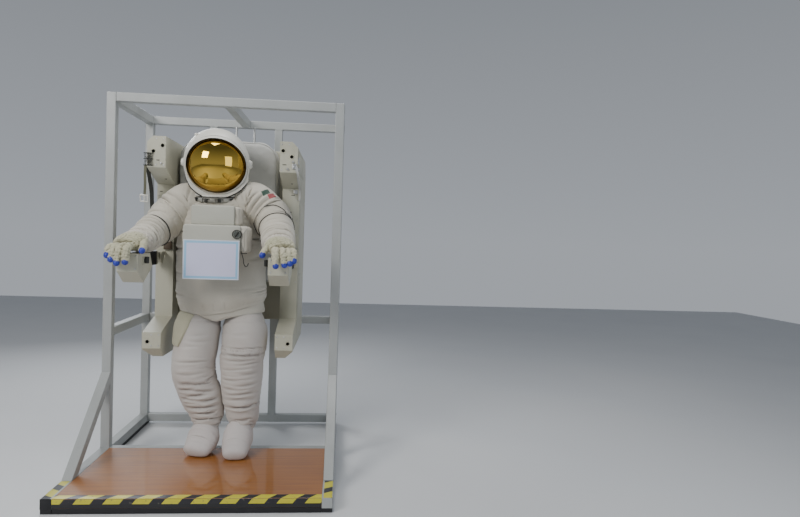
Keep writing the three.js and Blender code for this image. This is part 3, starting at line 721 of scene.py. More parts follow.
makePiece("tower_knobs", knobs + brackets, "zincSteel")

# Small holes up the columns, drawn as dark discs of painted shade: x, height and radius
holes = [(0.358, 1.430, 0.0034), (0.364, 1.391, 0.0056), (0.380, 1.330, 0.0034), (0.386, 1.205, 0.0034),
         (-0.364, 1.391, 0.0040), (-0.386, 1.290, 0.0034)]
makePiece("column_hole_shades", [holeShadeDisc((x, tower["column"], z), frontward, radius, radius * 1.15, 20)
                           for x, z, radius in holes], "gasketRubber")

# Stiffening ribs and rows of screws on the body's back
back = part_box("pack_body")[1][1]
ribs = [roundedBox((-0.24, back - 0.001, z - 0.012), (0.24, back + 0.006, z + 0.012), 0.003, 3) for z in (0.86, 0.98)]
ribs += [screwHead((x, back, z), backward, 0.005) for x in np.linspace(-0.285, 0.285, 9) for z in (0.80, 1.63, 1.69)]
makePiece("pack_back_ribs", ribs, "creamPaint")

# Each control arm: a lever in a rubber boot, bolts, a side plate, a black ribbed sleeve over the beam behind
# the head, and a pad on the column. The sleeve's black is partly rubber and partly painted shade on the beam.
arm = {"front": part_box("control_arm_left")[0][1], "beam": tower["outer"] - 0.026, "beamHalf": 0.013,
       "grip": (-0.459, 1.146), "middle": (tower["outer"] + tower["inner"]) / 2, "sleeve": (-0.355, -0.028),
       "sleeveLow": 1.110, "sleeveHigh": 1.180, "rib": 0.0012, "ribs": 55, "pad": (0.316, 0.360, 1.190, 1.240)}
boot = [(0.0001, 0.004), (0.012, 0.004), (0.0135, 0.006), (0.011, 0.009), (0.0125, 0.011), (0.0095, 0.014),
        (0.0095, 0.018), (0.0001, 0.018)]
grip = [(0.0001, -0.0142), (0.008, -0.0142), (0.0102, -0.012), (0.0102, 0.010), (0.0108, 0.014), (0.0098, 0.0195),
        (0.0001, 0.0205)]
pads = []
for side, sign in mirrored:
    body = f"control_arm_{side}"
    inner, outer = sign * tower["inner"], sign * tower["outer"]
    lever = [turnedShape(boot, (inner - sign * 0.004, *arm["grip"]), (-sign, 0, 0), 24),
             turnedShape(grip, (inner - sign * 0.018, *arm["grip"]), upward, 24)]
    makePiece(f"hand_lever_{side}", lever, "darkMetal", body=body)
    bolts = [screwHead((outer, y, z), (sign, 0, 0)) for y, z in ((-0.51, 1.15), (-0.38, 1.15), (-0.45, 1.07))]
    bolts += [screwHead((sign * arm["middle"] + x, arm["front"], z), frontward, 0.004)
              for x in (-0.036, 0.036) for z in (1.108, 1.168)]
    makePiece(f"arm_bolts_{side}", bolts, "zincSteel", body=body)
    plate = coverPlate(-0.520, -0.370, 1.100, 1.166, outer, sign, 0.008, 0.002)
    makePiece(f"arm_plate_{side}", [plate], "creamPaint", body=body)
    # A ribbed rubber sleeve. Its black also stands for the shade on the beam between the head and the column
    y = np.linspace(*arm["sleeve"], arm["ribs"])[:, None]
    swell = arm["rib"] + arm["rib"] * (np.arange(arm["ribs"]) % 2)[:, None]
    wide = (arm["beamHalf"] + swell) * [-1, 1, 1, -1]
    z = np.where([1, 1, 0, 0], arm["sleeveLow"] - swell, arm["sleeveHigh"] + swell)
    ribbed = np.stack([sign * arm["beam"] + wide, y + 0 * wide, z], -1)
    makePiece(f"arm_shade_sleeve_{side}", [gridShape(ribbed)], "blackRubber", body=body, smooth=False)
    near, far, bottom, top = arm["pad"]
    near, far = sorted((sign * near, sign * far))
    pads.append(roundedBox((near, tower["column"] - 0.018, bottom), (far, tower["column"] + 0.002, top), 0.004))
makePiece("column_pads", pads, "leatherBrown")
print("backpack done")


# Helmet. It is worked out upright about its own middle, front -Y, and then leaned and put in place.
helmet = {
    "middle": (-0.043, -0.053, 1.681), "lean": 10.0, "crown": (0.179, 0.179, 0.192), "inner": 0.1725,
    "opening": {"x": 0.011, "z": -0.008, "halfX": 0.157, "halfZ": 0.149},
    "visorOuter": 0.166, "visorInner": 0.162, "visorRear": 0.015, "visorTop": 0.134, "visorBottom": -0.1655,
    "bubble": 0.156, "stem": 0.044, "drop": 0.172, "ring": 0.136, "ringLow": -0.206, "ringHigh": -0.178,
    "wall": 0.004, "hemWidth": 0.046, "hemLift": 0.0012, "knobIn": 0.002, "slotOut": 0.0142,
    "rimInner": 0.1705, "rimOuter": 0.1735, "rimPower": 1.15, "gasket": 0.0034, "lowerGasket": 0.0036,
}
# The rim's width and how far its outer edge stands from the middle, by the angle round the opening
rimTable = np.array([
    (-90, 0.026, 0.222), (-65, 0.026, 0.220), (-45, 0.028, 0.214), (-30, 0.027, 0.203), (-15, 0.014, 0.189),
    (0, 0.009, 0.186), (45, 0.014, 0.1885), (90, 0.016, 0.193), (135, 0.014, 0.188), (180, 0.008, 0.183),
    (195, 0.012, 0.186), (210, 0.020, 0.195), (225, 0.025, 0.2075), (245, 0.026, 0.2165),
])


def leaned(points):
    # Turns points about X by the lean, and moves them to the helmet's place.
    return turnedAbout(np.asarray(points, float), 0, helmet["lean"]) + helmet["middle"]


def leanedShape(shape):
    return leaned(shape[0]), shape[1]


def leanedTurned(profile, sides, closed=False):
    # Turned about the helmet's own upright axis, and then leaned
    return [leanedShape(turnedShape(profile, (0, 0, 0), upward, sides, closed))]


def openingPoint(angle, outward=0.0):
    # The opening is an ellipse in x and z. Outward moves the point along the ellipse's normal.
    opening = helmet["opening"]
    x = opening["x"] + opening["halfX"] * np.cos(angle)
    z = opening["z"] + opening["halfZ"] * np.sin(angle)
    normal = unit(np.stack([np.cos(angle) * opening["halfZ"], np.sin(angle) * opening["halfX"]], -1))
    return x + outward * normal[..., 0], z + outward * normal[..., 1]


def atRadius(x, z, radius):
    # The point on the front of a ball of that radius that has this x and z.
    return np.stack([x, -np.sqrt(np.maximum(radius ** 2 - x ** 2 - z ** 2, 1e-8)), z], -1)


def smoothRim(angle, column):
    # The rim table read round the opening, with a cosine ease from one row to the next.
    degrees = (np.degrees(angle) + 90) % 360 - 90
    rows = np.vstack([rimTable, rimTable[:1] + [360, 0, 0]])
    i = np.clip(np.searchsorted(rows[:, 0], degrees, "right") - 1, 0, len(rows) - 2)
    t = (degrees - rows[i, 0]) / (rows[i + 1, 0] - rows[i, 0])
    t = (1 - np.cos(np.pi * t)) / 2
    return rows[i, column] * (1 - t) + rows[i + 1, column] * t


def shellPiece():
    # Directions run from the edge of the opening to the back of the head along great circles. The
    # outside is an ellipsoid, cut flat at the neck, with a faint raised hem. The inside is a ball.
    angle = circle(168)
    x, z = openingPoint(angle, 0.001)
    a, b, c = helmet["crown"]
    t = np.linspace(0, 0.992, 64)[:, None, None]

    def rowsFrom(edge):
        start, back = unit(edge), np.array([0.0, 1.0, 0.0])
        reach = np.arccos(np.clip(start @ back, -1, 1))[None, :, None]
        d = (np.sin((1 - t) * reach) * start + np.sin(t * reach) * back) / np.sin(reach)
        size = 1 / np.sqrt((d[..., 0] / a) ** 2 + (d[..., 1] / b) ** 2 + (d[..., 2] / c) ** 2)
        return d, size, t[..., 0] * reach[..., 0] * size

    d, size, along = rowsFrom(np.stack([x, -b * np.sqrt(1 - (x / a) ** 2 - (z / c) ** 2), z], -1))
    upper = np.clip((d[..., 2] + 0.1) * 4, 0, 1)
    size = size + helmet["hemLift"] * upper * (1 - np.clip((along - helmet["hemWidth"]) / 0.004, 0, 1))
    size = np.minimum(size, (helmet["drop"] - helmet["wall"]) / np.maximum(-d[..., 2], 1e-6))
    outer = d * size[..., None]
    d, size, along = rowsFrom(atRadius(x, z, helmet["inner"]))
    size = np.minimum(size - helmet["wall"], (helmet["drop"] - 0.008) / np.maximum(-d[..., 2], 1e-6))
    inner = d * np.minimum(helmet["inner"], size)[..., None]
    return gridShape(leaned(np.concatenate([outer, inner[::-1]])), loop=True)


def rimShape():
    # A band round the opening. Across it, radius runs from just outside the visor to the table's
    # value at the outer edge, with both edges rounded, and the back face follows 8 mm inside.
    angle = circle(192)
    width = smoothRim(angle, 1)
    outer = smoothRim(angle, 2)
    across = np.array([0.0, 0.0, 0.04, 0.12, 0.3, 0.5, 0.7, 0.86, 0.95, 1.0, 1.0, 0.94, 0.6, 0.2])
    lower = np.array([0.0, 1.6, 2.6, 3.0, 3.0, 3.0, 3.0, 2.9, 2.2, 0.6, -2.4, -4.4, -4.8, -2.5]) * mm
    rings = []
    for share, lift in zip(across, lower):
        x, z = openingPoint(angle, share * width)
        base = helmet["rimInner"] + (outer - helmet["rimOuter"]) * share ** helmet["rimPower"]
        rings.append(atRadius(x, z, base + lift))
    return gridShape(leaned(np.stack(rings, 1)), loop=True)


def rimLine(first, last, outward, radius, size, taper=0.12, count=96):
    # A round seal along the opening between two angles, in degrees. It thins out to nothing.
    angle = np.radians(np.linspace(first, last, count))
    x, z = openingPoint(angle, smoothRim(angle, 1) * outward[0] + outward[1])
    t = np.linspace(0, 1, count)
    fade = np.clip(np.minimum(t, 1 - t) / taper, 0.02, 1) ** 0.5
    return leanedShape(sweep(atRadius(x, z, radius(angle)), roundProfiles(size * fade, 10), up=backward))


makePiece("helmet_shell_finished", [shellPiece()], "helmetPaint", replaced=["helmet_shell"])
makePiece("helmet_rim", [rimShape()], "helmetPaint")
gaskets = [rimLine(-12, 186, (0.0, -0.0012), lambda a: helmet["rimOuter"] + 0 * a, helmet["gasket"]),
           rimLine(203, 330, (1.0, 0.0016), lambda a: smoothRim(a, 2) - 0.001, helmet["lowerGasket"])]
makePiece("helmet_gaskets", gaskets, "gasketRubber")

# The collar under the shell, and a knob on each visor pivot, with a dark box of painted shade for its slot
collar = [(0.045, -0.165), (0.112, -0.160), (0.126, -0.162), (0.132, -0.166), (0.1335, -0.170), (0.132, -0.1728),
          (0.045, -0.1728)]
makePiece("helmet_collar", leanedTurned(collar, 96, True), "helmetPaint", merge=1e-6)
knob = [(0.0001, 0.016), (0.0045, 0.016), (0.0055, 0.0148), (0.006, 0.0158), (0.017, 0.0158), (0.0195, 0.0145),
        (0.0205, 0.012), (0.0205, 0.008), (0.024, 0.007), (0.0258, 0.005), (0.0262, 0.0), (0.0262, -0.012),
        (0.0001, -0.012)]
tabPlace = np.array([-0.098, -0.052, 0.154])
knobs, knobSlots = [], []
for side, sign in mirrored:
    pivot = (sign * helmet["crown"][0] - sign * helmet["knobIn"], 0.0, 0.0)
    knobs.append(turnedShape(knob, pivot, (sign, 0, 0), 40))
    # A dark box of painted shade for the knob's slot
    tip = sign * (helmet["crown"][0] + helmet["slotOut"])
    low, high = sorted((tip - sign * 0.002, tip + sign * 0.0008))
    knobSlots.append(roundedBox((low, -0.012, -0.0016), (high, 0.012, 0.0016), 0.0008, 3))
knobs.append(roundedBox(tabPlace - [0.008, 0.012, 0.006], tabPlace + [0.008, 0.012, 0.008], 0.003))
makePiece("helmet_knobs", map(leanedShape, knobs), "helmetPaint")
makePiece("helmet_knob_slot_shades", map(leanedShape, knobSlots), "gasketRubber")


def visorShape():
    # A patch of a ball, in longitude and latitude about the upright axis. Each latitude runs to
    # where the ball meets the plane behind the pivots. The wall is 4 mm, with a rounded edge.
    latitude = np.linspace(np.arcsin(helmet["visorBottom"] / helmet["visorOuter"]),
                           np.arcsin(helmet["visorTop"] / helmet["visorOuter"]), 72)[:, None]
    reach = np.arccos(-helmet["visorRear"] / (helmet["visorOuter"] * np.cos(latitude)))
    longitude = np.linspace(-1, 1, 120) * reach
    d = np.stack([np.cos(latitude) * np.sin(longitude), -np.cos(latitude) * np.cos(longitude),
                  np.sin(latitude) + 0 * longitude], -1)
    outer, faces = gridShape(d * helmet["visorOuter"], around=False, caps=False)
    inner = d.reshape(-1, 3) * helmet["visorInner"]
    index = np.arange(len(outer)).reshape(d.shape[:2])
    border = np.concatenate([index[0, :-1], index[:-1, -1], index[-1, :0:-1], index[:0:-1, 0]])
    after = np.roll(border, -1)
    count = len(outer)
    walls = np.stack([border, border + count, after + count, after], -1).tolist()
    faces += [[corner + count for corner in face[::-1]] for face in faces] + walls
    return leaned(np.vstack([outer, inner])), faces


makePiece("gold_visor", [visorShape()], "goldMirror", body="visor", replaced=["visor"])
turn = np.linspace(np.arcsin(helmet["stem"] / helmet["bubble"]), np.pi - 0.004, 60)
bubble = [(0.0002, -helmet["drop"]), (helmet["stem"], -helmet["drop"])]
bubble += [(helmet["bubble"] * np.sin(a), -helmet["bubble"] * np.cos(a)) for a in turn]
makePiece("inner_bubble", leanedTurned(bubble, 72), "darkBubble", replaced=["helmet_bubble"])

# The neck ring, with grooves, and a row of latches round its front
low, high, wide = helmet["ringLow"], helmet["ringHigh"], helmet["ring"]
ring = [(0.040, high), (wide - 0.004, high), (wide - 0.002, high - 0.002), (wide - 0.002, high - 0.007),
        (wide - 0.006, high - 0.008), (wide - 0.006, high - 0.011), (wide - 0.001, high - 0.012),
        (wide - 0.001, low + 0.007), (wide - 0.004, low + 0.006), (wide - 0.004, low + 0.002),
        (wide - 0.006, low), (0.040, low)]
makePiece("neck_ring_finished", leanedTurned(ring, 96, True), "collarMetal", replaced=["neck_ring"], merge=1e-6)
latches, clamps = [], []
for degrees in range(-150, 151, 15):
    halfWidth = 0.009 if degrees % 30 else 0.014
    box, faces = roundedBox((-halfWidth, -wide - 0.0035, low + 0.004),
                            (halfWidth, -wide + 0.004, high - 0.004), 0.0015, 3)
    (latches if degrees % 30 else clamps).append((leaned(turnedAbout(box, 2, degrees)), faces))
makePiece("neck_ring_latches", latches, "darkMetal")
makePiece("neck_ring_clamps", clamps, "clampMetal")
print("helmet done")


# Soft goods. Each tube of cloth is a grid of oval rings, folded by the listed folds and then by simulation.

def softGrid(rows, across, cell):
    # Rings of ovals along the curve through the rows, a cell apart both ways. Angle 0 of a ring is
    # its front, the way square to the curve and to across.
    rows = np.asarray(rows, float) * mm
    t = np.linspace(0, 1, 400)
    middles = splineThrough(rows[:, :3], t)
    length = runOf(middles)
    count = int(round(length[-1] / cell)) + 1
    t = np.interp(np.linspace(0, length[-1], count), length, t)
    middles = splineThrough(rows[:, :3], t)
    sizes = splineThrough(rows[:, 3:], t, hold=True)
    ahead = unit(np.gradient(middles, axis=0))
    across = np.asarray(across, float)
    side = unit(across - ahead * (ahead @ across)[:, None])
    front = np.cross(ahead, side)
    columns = int(round(2 * np.pi * sizes.mean() / cell / 2)) * 2
    angle = circle(columns)
    points = (middles[:, None] + side[:, None] * (sizes[:, None, :1] * np.sin(angle)[None, :, None])
              + front[:, None] * (sizes[:, None, 1:] * np.cos(angle)[None, :, None]))
    return {"points": points, "angle": angle[None] + np.zeros((count, 1)), "middles": middles,
            "length": np.linspace(0, length[-1], count)[:, None] + 0 * angle[None]}


def gridNormals(points):
    # The cross product of the steps round the ring and along the tube
    along = np.gradient(points, axis=0)
    around = np.roll(points, -1, axis=1) - np.roll(points, 1, axis=1)
    normals = unit(np.cross(around, along))
    outward = points - points.mean(axis=1, keepdims=True)
    return normals * np.sign((normals * outward).sum(axis=(1, 2), keepdims=True).sum())


def smoothed(field, times):
    # The mean with the neighbours, over and over. Rings wrap round and ends repeat.
    for _ in range(times):
        field = (np.roll(field, 1, axis=1) + 2 * field + np.roll(field, -1, axis=1)) / 4
        padded = np.concatenate([field[:1], field, field[-1:]])
        field = (padded[:-2] + 2 * field + padded[2:]) / 4
    return field


def wrapped(angle):
    return (angle + np.pi) % (2 * np.pi) - np.pi


def valley(off):
    # A valley with a soft lip, by the distance from its middle in its own widths
    return 0.5 * np.exp(-((off - 2.0) / 1.1) ** 2) - np.exp(-off ** 2)


def foldHeight(place, angle, folds):
    # Each fold is a valley with a soft lip on both sides, at one place along the tube. Its rows are
    # place, middle angle and half reach in degrees, rise at a right angle, depth and width in mm.
    height = np.zeros_like(angle)
    for at, toward, reach, rise, depth, width in folds:
        turn = wrapped(angle - np.radians(toward))
        window = np.clip(1 - np.abs(turn) / np.radians(reach), 0, 1)
        window = window * window * (3 - 2 * window)
        off = np.abs(place - at - rise * mm * np.sin(turn)) / (width * mm)
        height += depth * mm * window * valley(off)
    return height


def pleatHeight(place, angle, pleats):
    # Each pleat is a valley along the tube. Its rows are angle, low and high place, lean in degrees
    # from one to the other, depth in mm and width in degrees.
    height = np.zeros_like(angle)
    for toward, low, high, lean, depth, width in pleats:
        share = (place - low) / (high - low)
        window = np.clip(4 * share * (1 - share), 0, 1) ** 0.7
        off = np.abs(wrapped(angle - np.radians(toward + lean * share))) / np.radians(width)
        height += depth * mm * window * valley(off)
    return height


def creaseNoise(length, angle, seed):
    # Sixty sines along the tube with a slow change round it, from -1 to 1
    random = np.random.default_rng(seed)
    total = np.zeros_like(angle)
    for _ in range(60):
        waves, turns = random.uniform(14, 48), random.integers(0, 6)
        first, second = random.uniform(0, 2 * np.pi, 2)
        sway = 1.3 * np.sin(angle * random.integers(1, 4) + second)
        total += np.sin(2 * np.pi * waves * length + first + turns * angle * random.choice([-1, 1]) + sway)
    return total / np.abs(total).max()


def doubled(grid, wrap=False):
    # Puts a point half way between each two, on the cubic through the nearest four. Along the tube
    # first, and then round it.
    def between(a, b, c, d):
        return (9 * (b + c) - a - d) / 16
    padded = np.concatenate([2 * grid[:1] - grid[1:2], grid, 2 * grid[-1:] - grid[-2:-1]])
    middle = between(padded[:-3], padded[1:-2], padded[2:-1], padded[3:])
    rows = np.empty((2 * len(grid) - 1, *grid.shape[1:]))
    rows[0::2], rows[1::2] = grid, middle
    around = between(np.roll(rows, 1, axis=1), rows, np.roll(rows, -1, axis=1), np.roll(rows, -2, axis=1))
    columns = np.empty((len(rows), 2 * grid.shape[1], *grid.shape[2:]))
    columns[:, 0::2], columns[:, 1::2] = rows, around
    return columns


# Each soft piece: its cell in metres, the height of its creases in mm, a seed, how far its hem turns
# under or its toe reaches, and tables. Rows are the middle's x, y and z and the half sizes across and
# to the front, in mm. Wrinkle is the strength of creases and of the simulation by the place along it.
# A place is a height, or, for a piece with an across, the length from its start. Folds and pleats are
# as foldHeight and pleatHeight say.
softPieces = {
    "suit_torso": {
        "cell": 0.0078, "noise": 2.0, "seed": 11, "hem": 0.014,
        "rows": [
            (-42, -18, 1512, 108, 92), (-40, -14, 1489, 166, 114), (-36, -8, 1440, 212, 126),
            (-30, -12, 1330, 224, 134), (-26, -14, 1220, 232, 142), (-16, -16, 1123, 243, 148),
            (-10, -18, 1040, 244, 156), (-7, -17, 960, 246, 158), (-4, -15, 912, 243, 156),
            (-3, -12, 876, 239, 151), (-2, -11, 850, 233, 145),
        ],
        "wrinkle": [(0.85, 0.15), (0.91, 0.35), (0.97, 0.6), (1.06, 0.4), (1.3, 0.6), (1.45, 1.0)],
        "folds": [
            (0.956, 66, 46, 14, 7, 9), (0.932, 70, 40, 10, 4, 8), (0.940, -66, 42, 8, 5, 9),
            (0.930, -30, 30, -4, 3, 9), (0.985, 30, 60, 22, 2.5, 14), (1.06, -50, 50, -14, 2.5, 14),
            (1.16, 75, 50, 10, 4, 10), (1.20, -78, 46, 8, 5, 10), (0.975, 80, 40, 12, 4, 8),
            (0.935, 20, 36, 10, 3, 9), (1.27, 70, 40, -16, 5, 9), (1.30, -62, 44, -10, 6, 10),
            (0.93, 180, 80, 0, 4, 10), (0.97, 160, 70, 9, 4, 10),
        ],
        "pleats": [
            (34, 1.30, 1.50, 10, 7, 3.0), (43, 1.26, 1.50, 8, 8, 3.2), (52, 1.30, 1.49, 6, 8, 3.0),
            (61, 1.34, 1.48, 2, 6, 2.6), (-40, 1.33, 1.49, -8, 5, 3.2), (-52, 1.28, 1.48, -6, 7, 3.4),
            (-63, 1.33, 1.47, -3, 5, 2.8), (25, 1.36, 1.49, 8, 4, 2.6),
        ],
    },
    "suit_pelvis": {
        "cell": 0.0078, "noise": 1.0, "seed": 12, "hem": 0.012,
        "rows": [
            (-3, -12, 960, 220, 124), (-1, -12, 905, 226, 127), (0, -12, 870, 230, 130), (0, -12, 852, 232, 133),
            (0, -12, 840, 233, 135), (-1, -12, 830, 233, 135), (-1, -12, 820, 228, 129),
        ],
        "wrinkle": [(0.82, 0.12), (0.95, 0.1)],
        "folds": [
            (0.868, -20, 50, 6, 2.5, 8), (0.876, 30, 46, -5, 2, 8), (0.866, 150, 70, 6, 4, 8),
            (0.872, -150, 60, -6, 4, 8),
        ],
    },
    "suit_leg_left": {
        "cell": 0.0068, "noise": 2.6, "seed": 5, "finish": "legCloth",
        "rows": [
            (-104, -10, 900, 84, 86), (-107, -10, 850, 92, 94), (-114, -13, 822, 104, 108),
            (-121, -18, 794, 113, 121), (-125, -22, 770, 117, 127), (-131, -24, 740, 118, 131),
            (-138, -30, 655, 116, 130), (-147, -38, 580, 114, 126), (-143, -44, 509, 112, 120),
            (-124, -42, 437, 109, 113), (-97, -38, 368, 107, 106), (-77, -34, 310, 95, 98), (-70, -34, 252, 80, 87),
            (-71, -37, 207, 69, 79),
        ],
        "wrinkle": [(0.22, 0.6), (0.30, 0.8), (0.45, 0.95), (0.52, 0.7), (0.60, 0.45), (0.72, 0.3), (0.82, 0.2)],
        "folds": [
            (0.806, -10, 100, 0, 3, 6), (0.735, 14, 46, 4, 2.5, 10), (0.700, 20, 50, -3, 3, 9),
            (0.672, -10, 44, 6, 2.5, 9), (0.585, 0, 80, 2, 4, 7), (0.519, -12, 56, 5, 5, 7),
            (0.468, 2, 60, -5, 9, 9), (0.436, -26, 44, 9, 7, 8), (0.424, 24, 40, -10, 8, 7),
            (0.402, 4, 50, 14, 10, 9), (0.380, -20, 40, -8, 8, 7), (0.372, 34, 40, 8, 8, 8),
            (0.334, -2, 70, 4, 10, 7), (0.300, 4, 36, 2, 9, 6), (0.266, 0, 100, 3, 5, 6), (0.229, 0, 180, 0, 7, 6),
            (0.47, 170, 90, 6, 10, 9), (0.42, 190, 90, -6, 11, 9), (0.52, 180, 80, -4, 7, 9),
            (0.37, 175, 80, 6, 9, 8), (0.58, 160, 70, 6, 5, 10), (0.66, -90, 50, 5, 4, 9),
            (0.77, 120, 60, 8, 4, 10),
        ],
    },
    "suit_leg_right": {
        "cell": 0.0068, "noise": 2.6, "seed": 6, "finish": "legCloth",
        "rows": [
            (104, -10, 900, 84, 86), (107, -10, 850, 92, 94), (114, -13, 822, 104, 108), (120, -18, 794, 113, 121),
            (123, -22, 770, 117, 127), (128, -24, 740, 123, 132), (128, -29, 690, 123, 130),
            (124, -34, 640, 118, 124), (118, -38, 585, 115, 121), (120, -41, 510, 111, 117),
            (119, -40, 440, 107, 112), (120, -38, 370, 99, 105), (125, -36, 316, 93, 99), (130, -36, 258, 85, 92),
            (126, -38, 202, 70, 80),
        ],
        "wrinkle": [
            (0.22, 0.4), (0.31, 0.3), (0.35, 0.85), (0.45, 0.95), (0.60, 0.85), (0.66, 0.4), (0.70, 0.25),
            (0.82, 0.2),
        ],
        "folds": [
            (0.806, 10, 100, 4, 3, 6), (0.738, -6, 40, 2, 2.5, 9), (0.664, 0, 180, 0, 4, 4),
            (0.624, 0, 150, 4, 10, 6), (0.600, -18, 60, -6, 5, 7), (0.575, 30, 50, 12, 5, 7),
            (0.548, -10, 70, 6, 5, 6), (0.520, 26, 46, 12, 5, 8), (0.492, -8, 70, 9, 5, 6),
            (0.462, 24, 50, 12, 5, 8), (0.436, -20, 50, -5, 5, 8), (0.410, 10, 60, 12, 6, 7),
            (0.380, -12, 46, 8, 5, 8), (0.332, 6, 40, 2, 12, 7), (0.338, 0, 150, 6, 6, 8),
            (0.262, 0, 60, 4, 2.5, 9), (0.225, 0, 180, 0, 7, 6), (0.46, 170, 90, 6, 10, 9),
            (0.41, 190, 90, -6, 11, 9), (0.52, 180, 80, -4, 8, 9), (0.57, 170, 80, 6, 6, 9),
            (0.36, 178, 80, 4, 9, 8),
        ],
        "pleats": [(angle + 3.5 * np.sin(7.1 * angle), 0.634, 0.664, 3, 3.0, 2.0) for angle in range(-96, 100, 11)],
    },
    "suit_upper_arm_left": {
        "across": (0, 1, 0), "cell": 0.0072, "noise": 2.6, "seed": 7, "hem": 0.010,
        "rows": [
            (-110, 0, 1446, 100, 104), (-150, 0, 1448, 107, 113), (-215, -6, 1440, 112, 113),
            (-288, -48, 1376, 99, 103), (-322, -106, 1326, 87, 91),
        ],
        "wrinkle": [(0.0, 0.8), (0.15, 0.9), (0.3, 0.8)],
        "folds": [
            (0.075, -110, 80, 14, 6, 8), (0.110, -60, 70, 10, 6, 8), (0.145, -130, 60, -8, 6, 8),
            (0.185, -150, 70, 10, 7, 8), (0.215, -80, 70, 6, 6, 7), (0.245, 160, 80, 4, 6, 7),
            (0.09, 0, 80, 0, 9, 9), (0.13, 10, 70, 4, 8, 9), (0.17, 0, 60, -4, 6, 8),
        ],
    },
    "suit_upper_arm_right": {
        "across": (0, 1, 0), "cell": 0.0072, "noise": 2.6, "seed": 8, "hem": 0.010,
        "rows": [
            (60, 0, 1460, 100, 104), (100, 0, 1462, 107, 113), (165, -6, 1456, 112, 115),
            (254, -50, 1392, 101, 105), (295, -110, 1340, 89, 93),
        ],
        "wrinkle": [(0.0, 1.0), (0.15, 1.0), (0.3, 0.7)],
        "folds": [
            (0.050, -70, 76, -16, 8, 7), (0.075, -90, 70, -18, 9, 7), (0.100, -78, 70, -20, 9, 7),
            (0.128, -96, 66, -18, 8, 7), (0.158, -84, 60, -16, 7, 7), (0.190, -70, 60, -10, 5, 8),
            (0.228, -60, 70, -8, 5, 8), (0.10, 170, 80, 0, 8, 9), (0.15, 180, 80, 4, 8, 9),
            (0.20, -20, 60, 8, 3, 9), (0.26, 20, 60, 6, 4, 8),
        ],
    },
    "suit_forearm_left": {
        "across": (1, 0, 0), "cell": 0.0062, "noise": 2.6, "seed": 9,
        "rows": [
            (-318, -88, 1330, 76, 78), (-326, -114, 1318, 82, 84), (-346, -190, 1288, 78, 76),
            (-356, -265, 1258, 75, 68), (-365, -338, 1246, 73, 57),
        ],
        "wrinkle": [(0.0, 0.7), (0.1, 1.0), (0.25, 1.0)],
        "folds": [
            (0.086, 10, 90, 6, 6, 7), (0.116, -6, 110, 5, 10, 7), (0.147, 14, 110, -5, 11, 7),
            (0.178, 0, 110, 5, 10, 7), (0.207, 10, 110, -4, 8, 6), (0.236, 0, 170, 0, 6, 6),
            (0.10, 180, 80, 0, 6, 8), (0.15, 170, 80, 6, 6, 8),
        ],
    },
    "suit_forearm_right": {
        "across": (1, 0, 0), "cell": 0.0062, "noise": 2.2, "seed": 10,
        "rows": [
            (293, -92, 1344, 82, 82), (299, -118, 1334, 88, 88), (315, -190, 1296, 87, 80),
            (326, -265, 1264, 83, 70), (338, -338, 1247, 77, 58),
        ],
        "wrinkle": [(0.0, 0.4), (0.12, 0.5), (0.2, 0.9), (0.25, 1.0)],
        "folds": [
            (0.080, -30, 70, 8, 3, 9), (0.120, 30, 80, -6, 4, 8), (0.165, -10, 100, 5, 6, 7),
            (0.196, 10, 110, -5, 8, 7), (0.226, 0, 170, 0, 7, 6), (0.10, 180, 80, 0, 6, 8),
            (0.15, 170, 80, 6, 6, 8),
        ],
    },
    "suit_boot_left": {
        "across": (1, 0, 0), "cell": 0.0062, "noise": 1.2, "seed": 13, "toe": 0.034, "finish": "bootCloth",
        "rows": [
            (-72, -28, 262, 42, 54), (-72, -32, 236, 47, 57), (-72, -36, 216, 52, 62), (-73, -46, 192, 65, 81),
            (-76, -74, 158, 80, 82), (-84, -112, 128, 81, 64), (-96, -156, 104, 73, 46),
        ],
        "wrinkle": [(0.0, 0.8), (0.1, 0.4), (0.2, 0.15)],
        "folds": [
            (0.050, 10, 90, 6, 4, 7), (0.078, 30, 60, -8, 3.5, 8), (0.105, -30, 60, 9, 2.5, 9),
            (0.174, 0, 80, 3, 3.5, 3), (0.130, 66, 40, 12, 3, 9),
        ],
    },
    "suit_boot_right": {
        "across": (1, 0, 0), "cell": 0.0062, "noise": 1.2, "seed": 14, "toe": 0.037, "finish": "bootCloth",
        "rows": [
            (122, -28, 262, 42, 54), (121, -32, 236, 47, 57), (120, -38, 212, 53, 63), (119, -52, 188, 66, 84),
            (116, -94, 157, 78, 83), (115, -150, 126, 75, 62), (118, -204, 104, 66, 44),
        ],
        "wrinkle": [(0.0, 0.8), (0.1, 0.4), (0.2, 0.15)],
        "folds": [
            (0.046, 0, 90, -5, 4, 7), (0.080, -20, 60, 6, 3, 8), (0.115, 30, 50, -6, 2.5, 9),
            (0.206, 0, 80, 4, 2.5, 3),
        ],
    },
}
clothValues = {"frames": 25, "broad": 45, "most": 0.013}
clothSettings = {
    "vertex_group_mass": "pin", "quality": 5, "mass": 0.01, "shrink_min": -0.08, "air_damping": 1,
    "use_pressure": True, "uniform_pressure_force": 50, "tension_stiffness": 20, "compression_stiffness": 20,
    "shear_stiffness": 20 / 3, "bending_stiffness": 0.1, "tension_damping": 5, "compression_damping": 5,
    "shear_damping": 5, "bending_damping": 0.5,
}


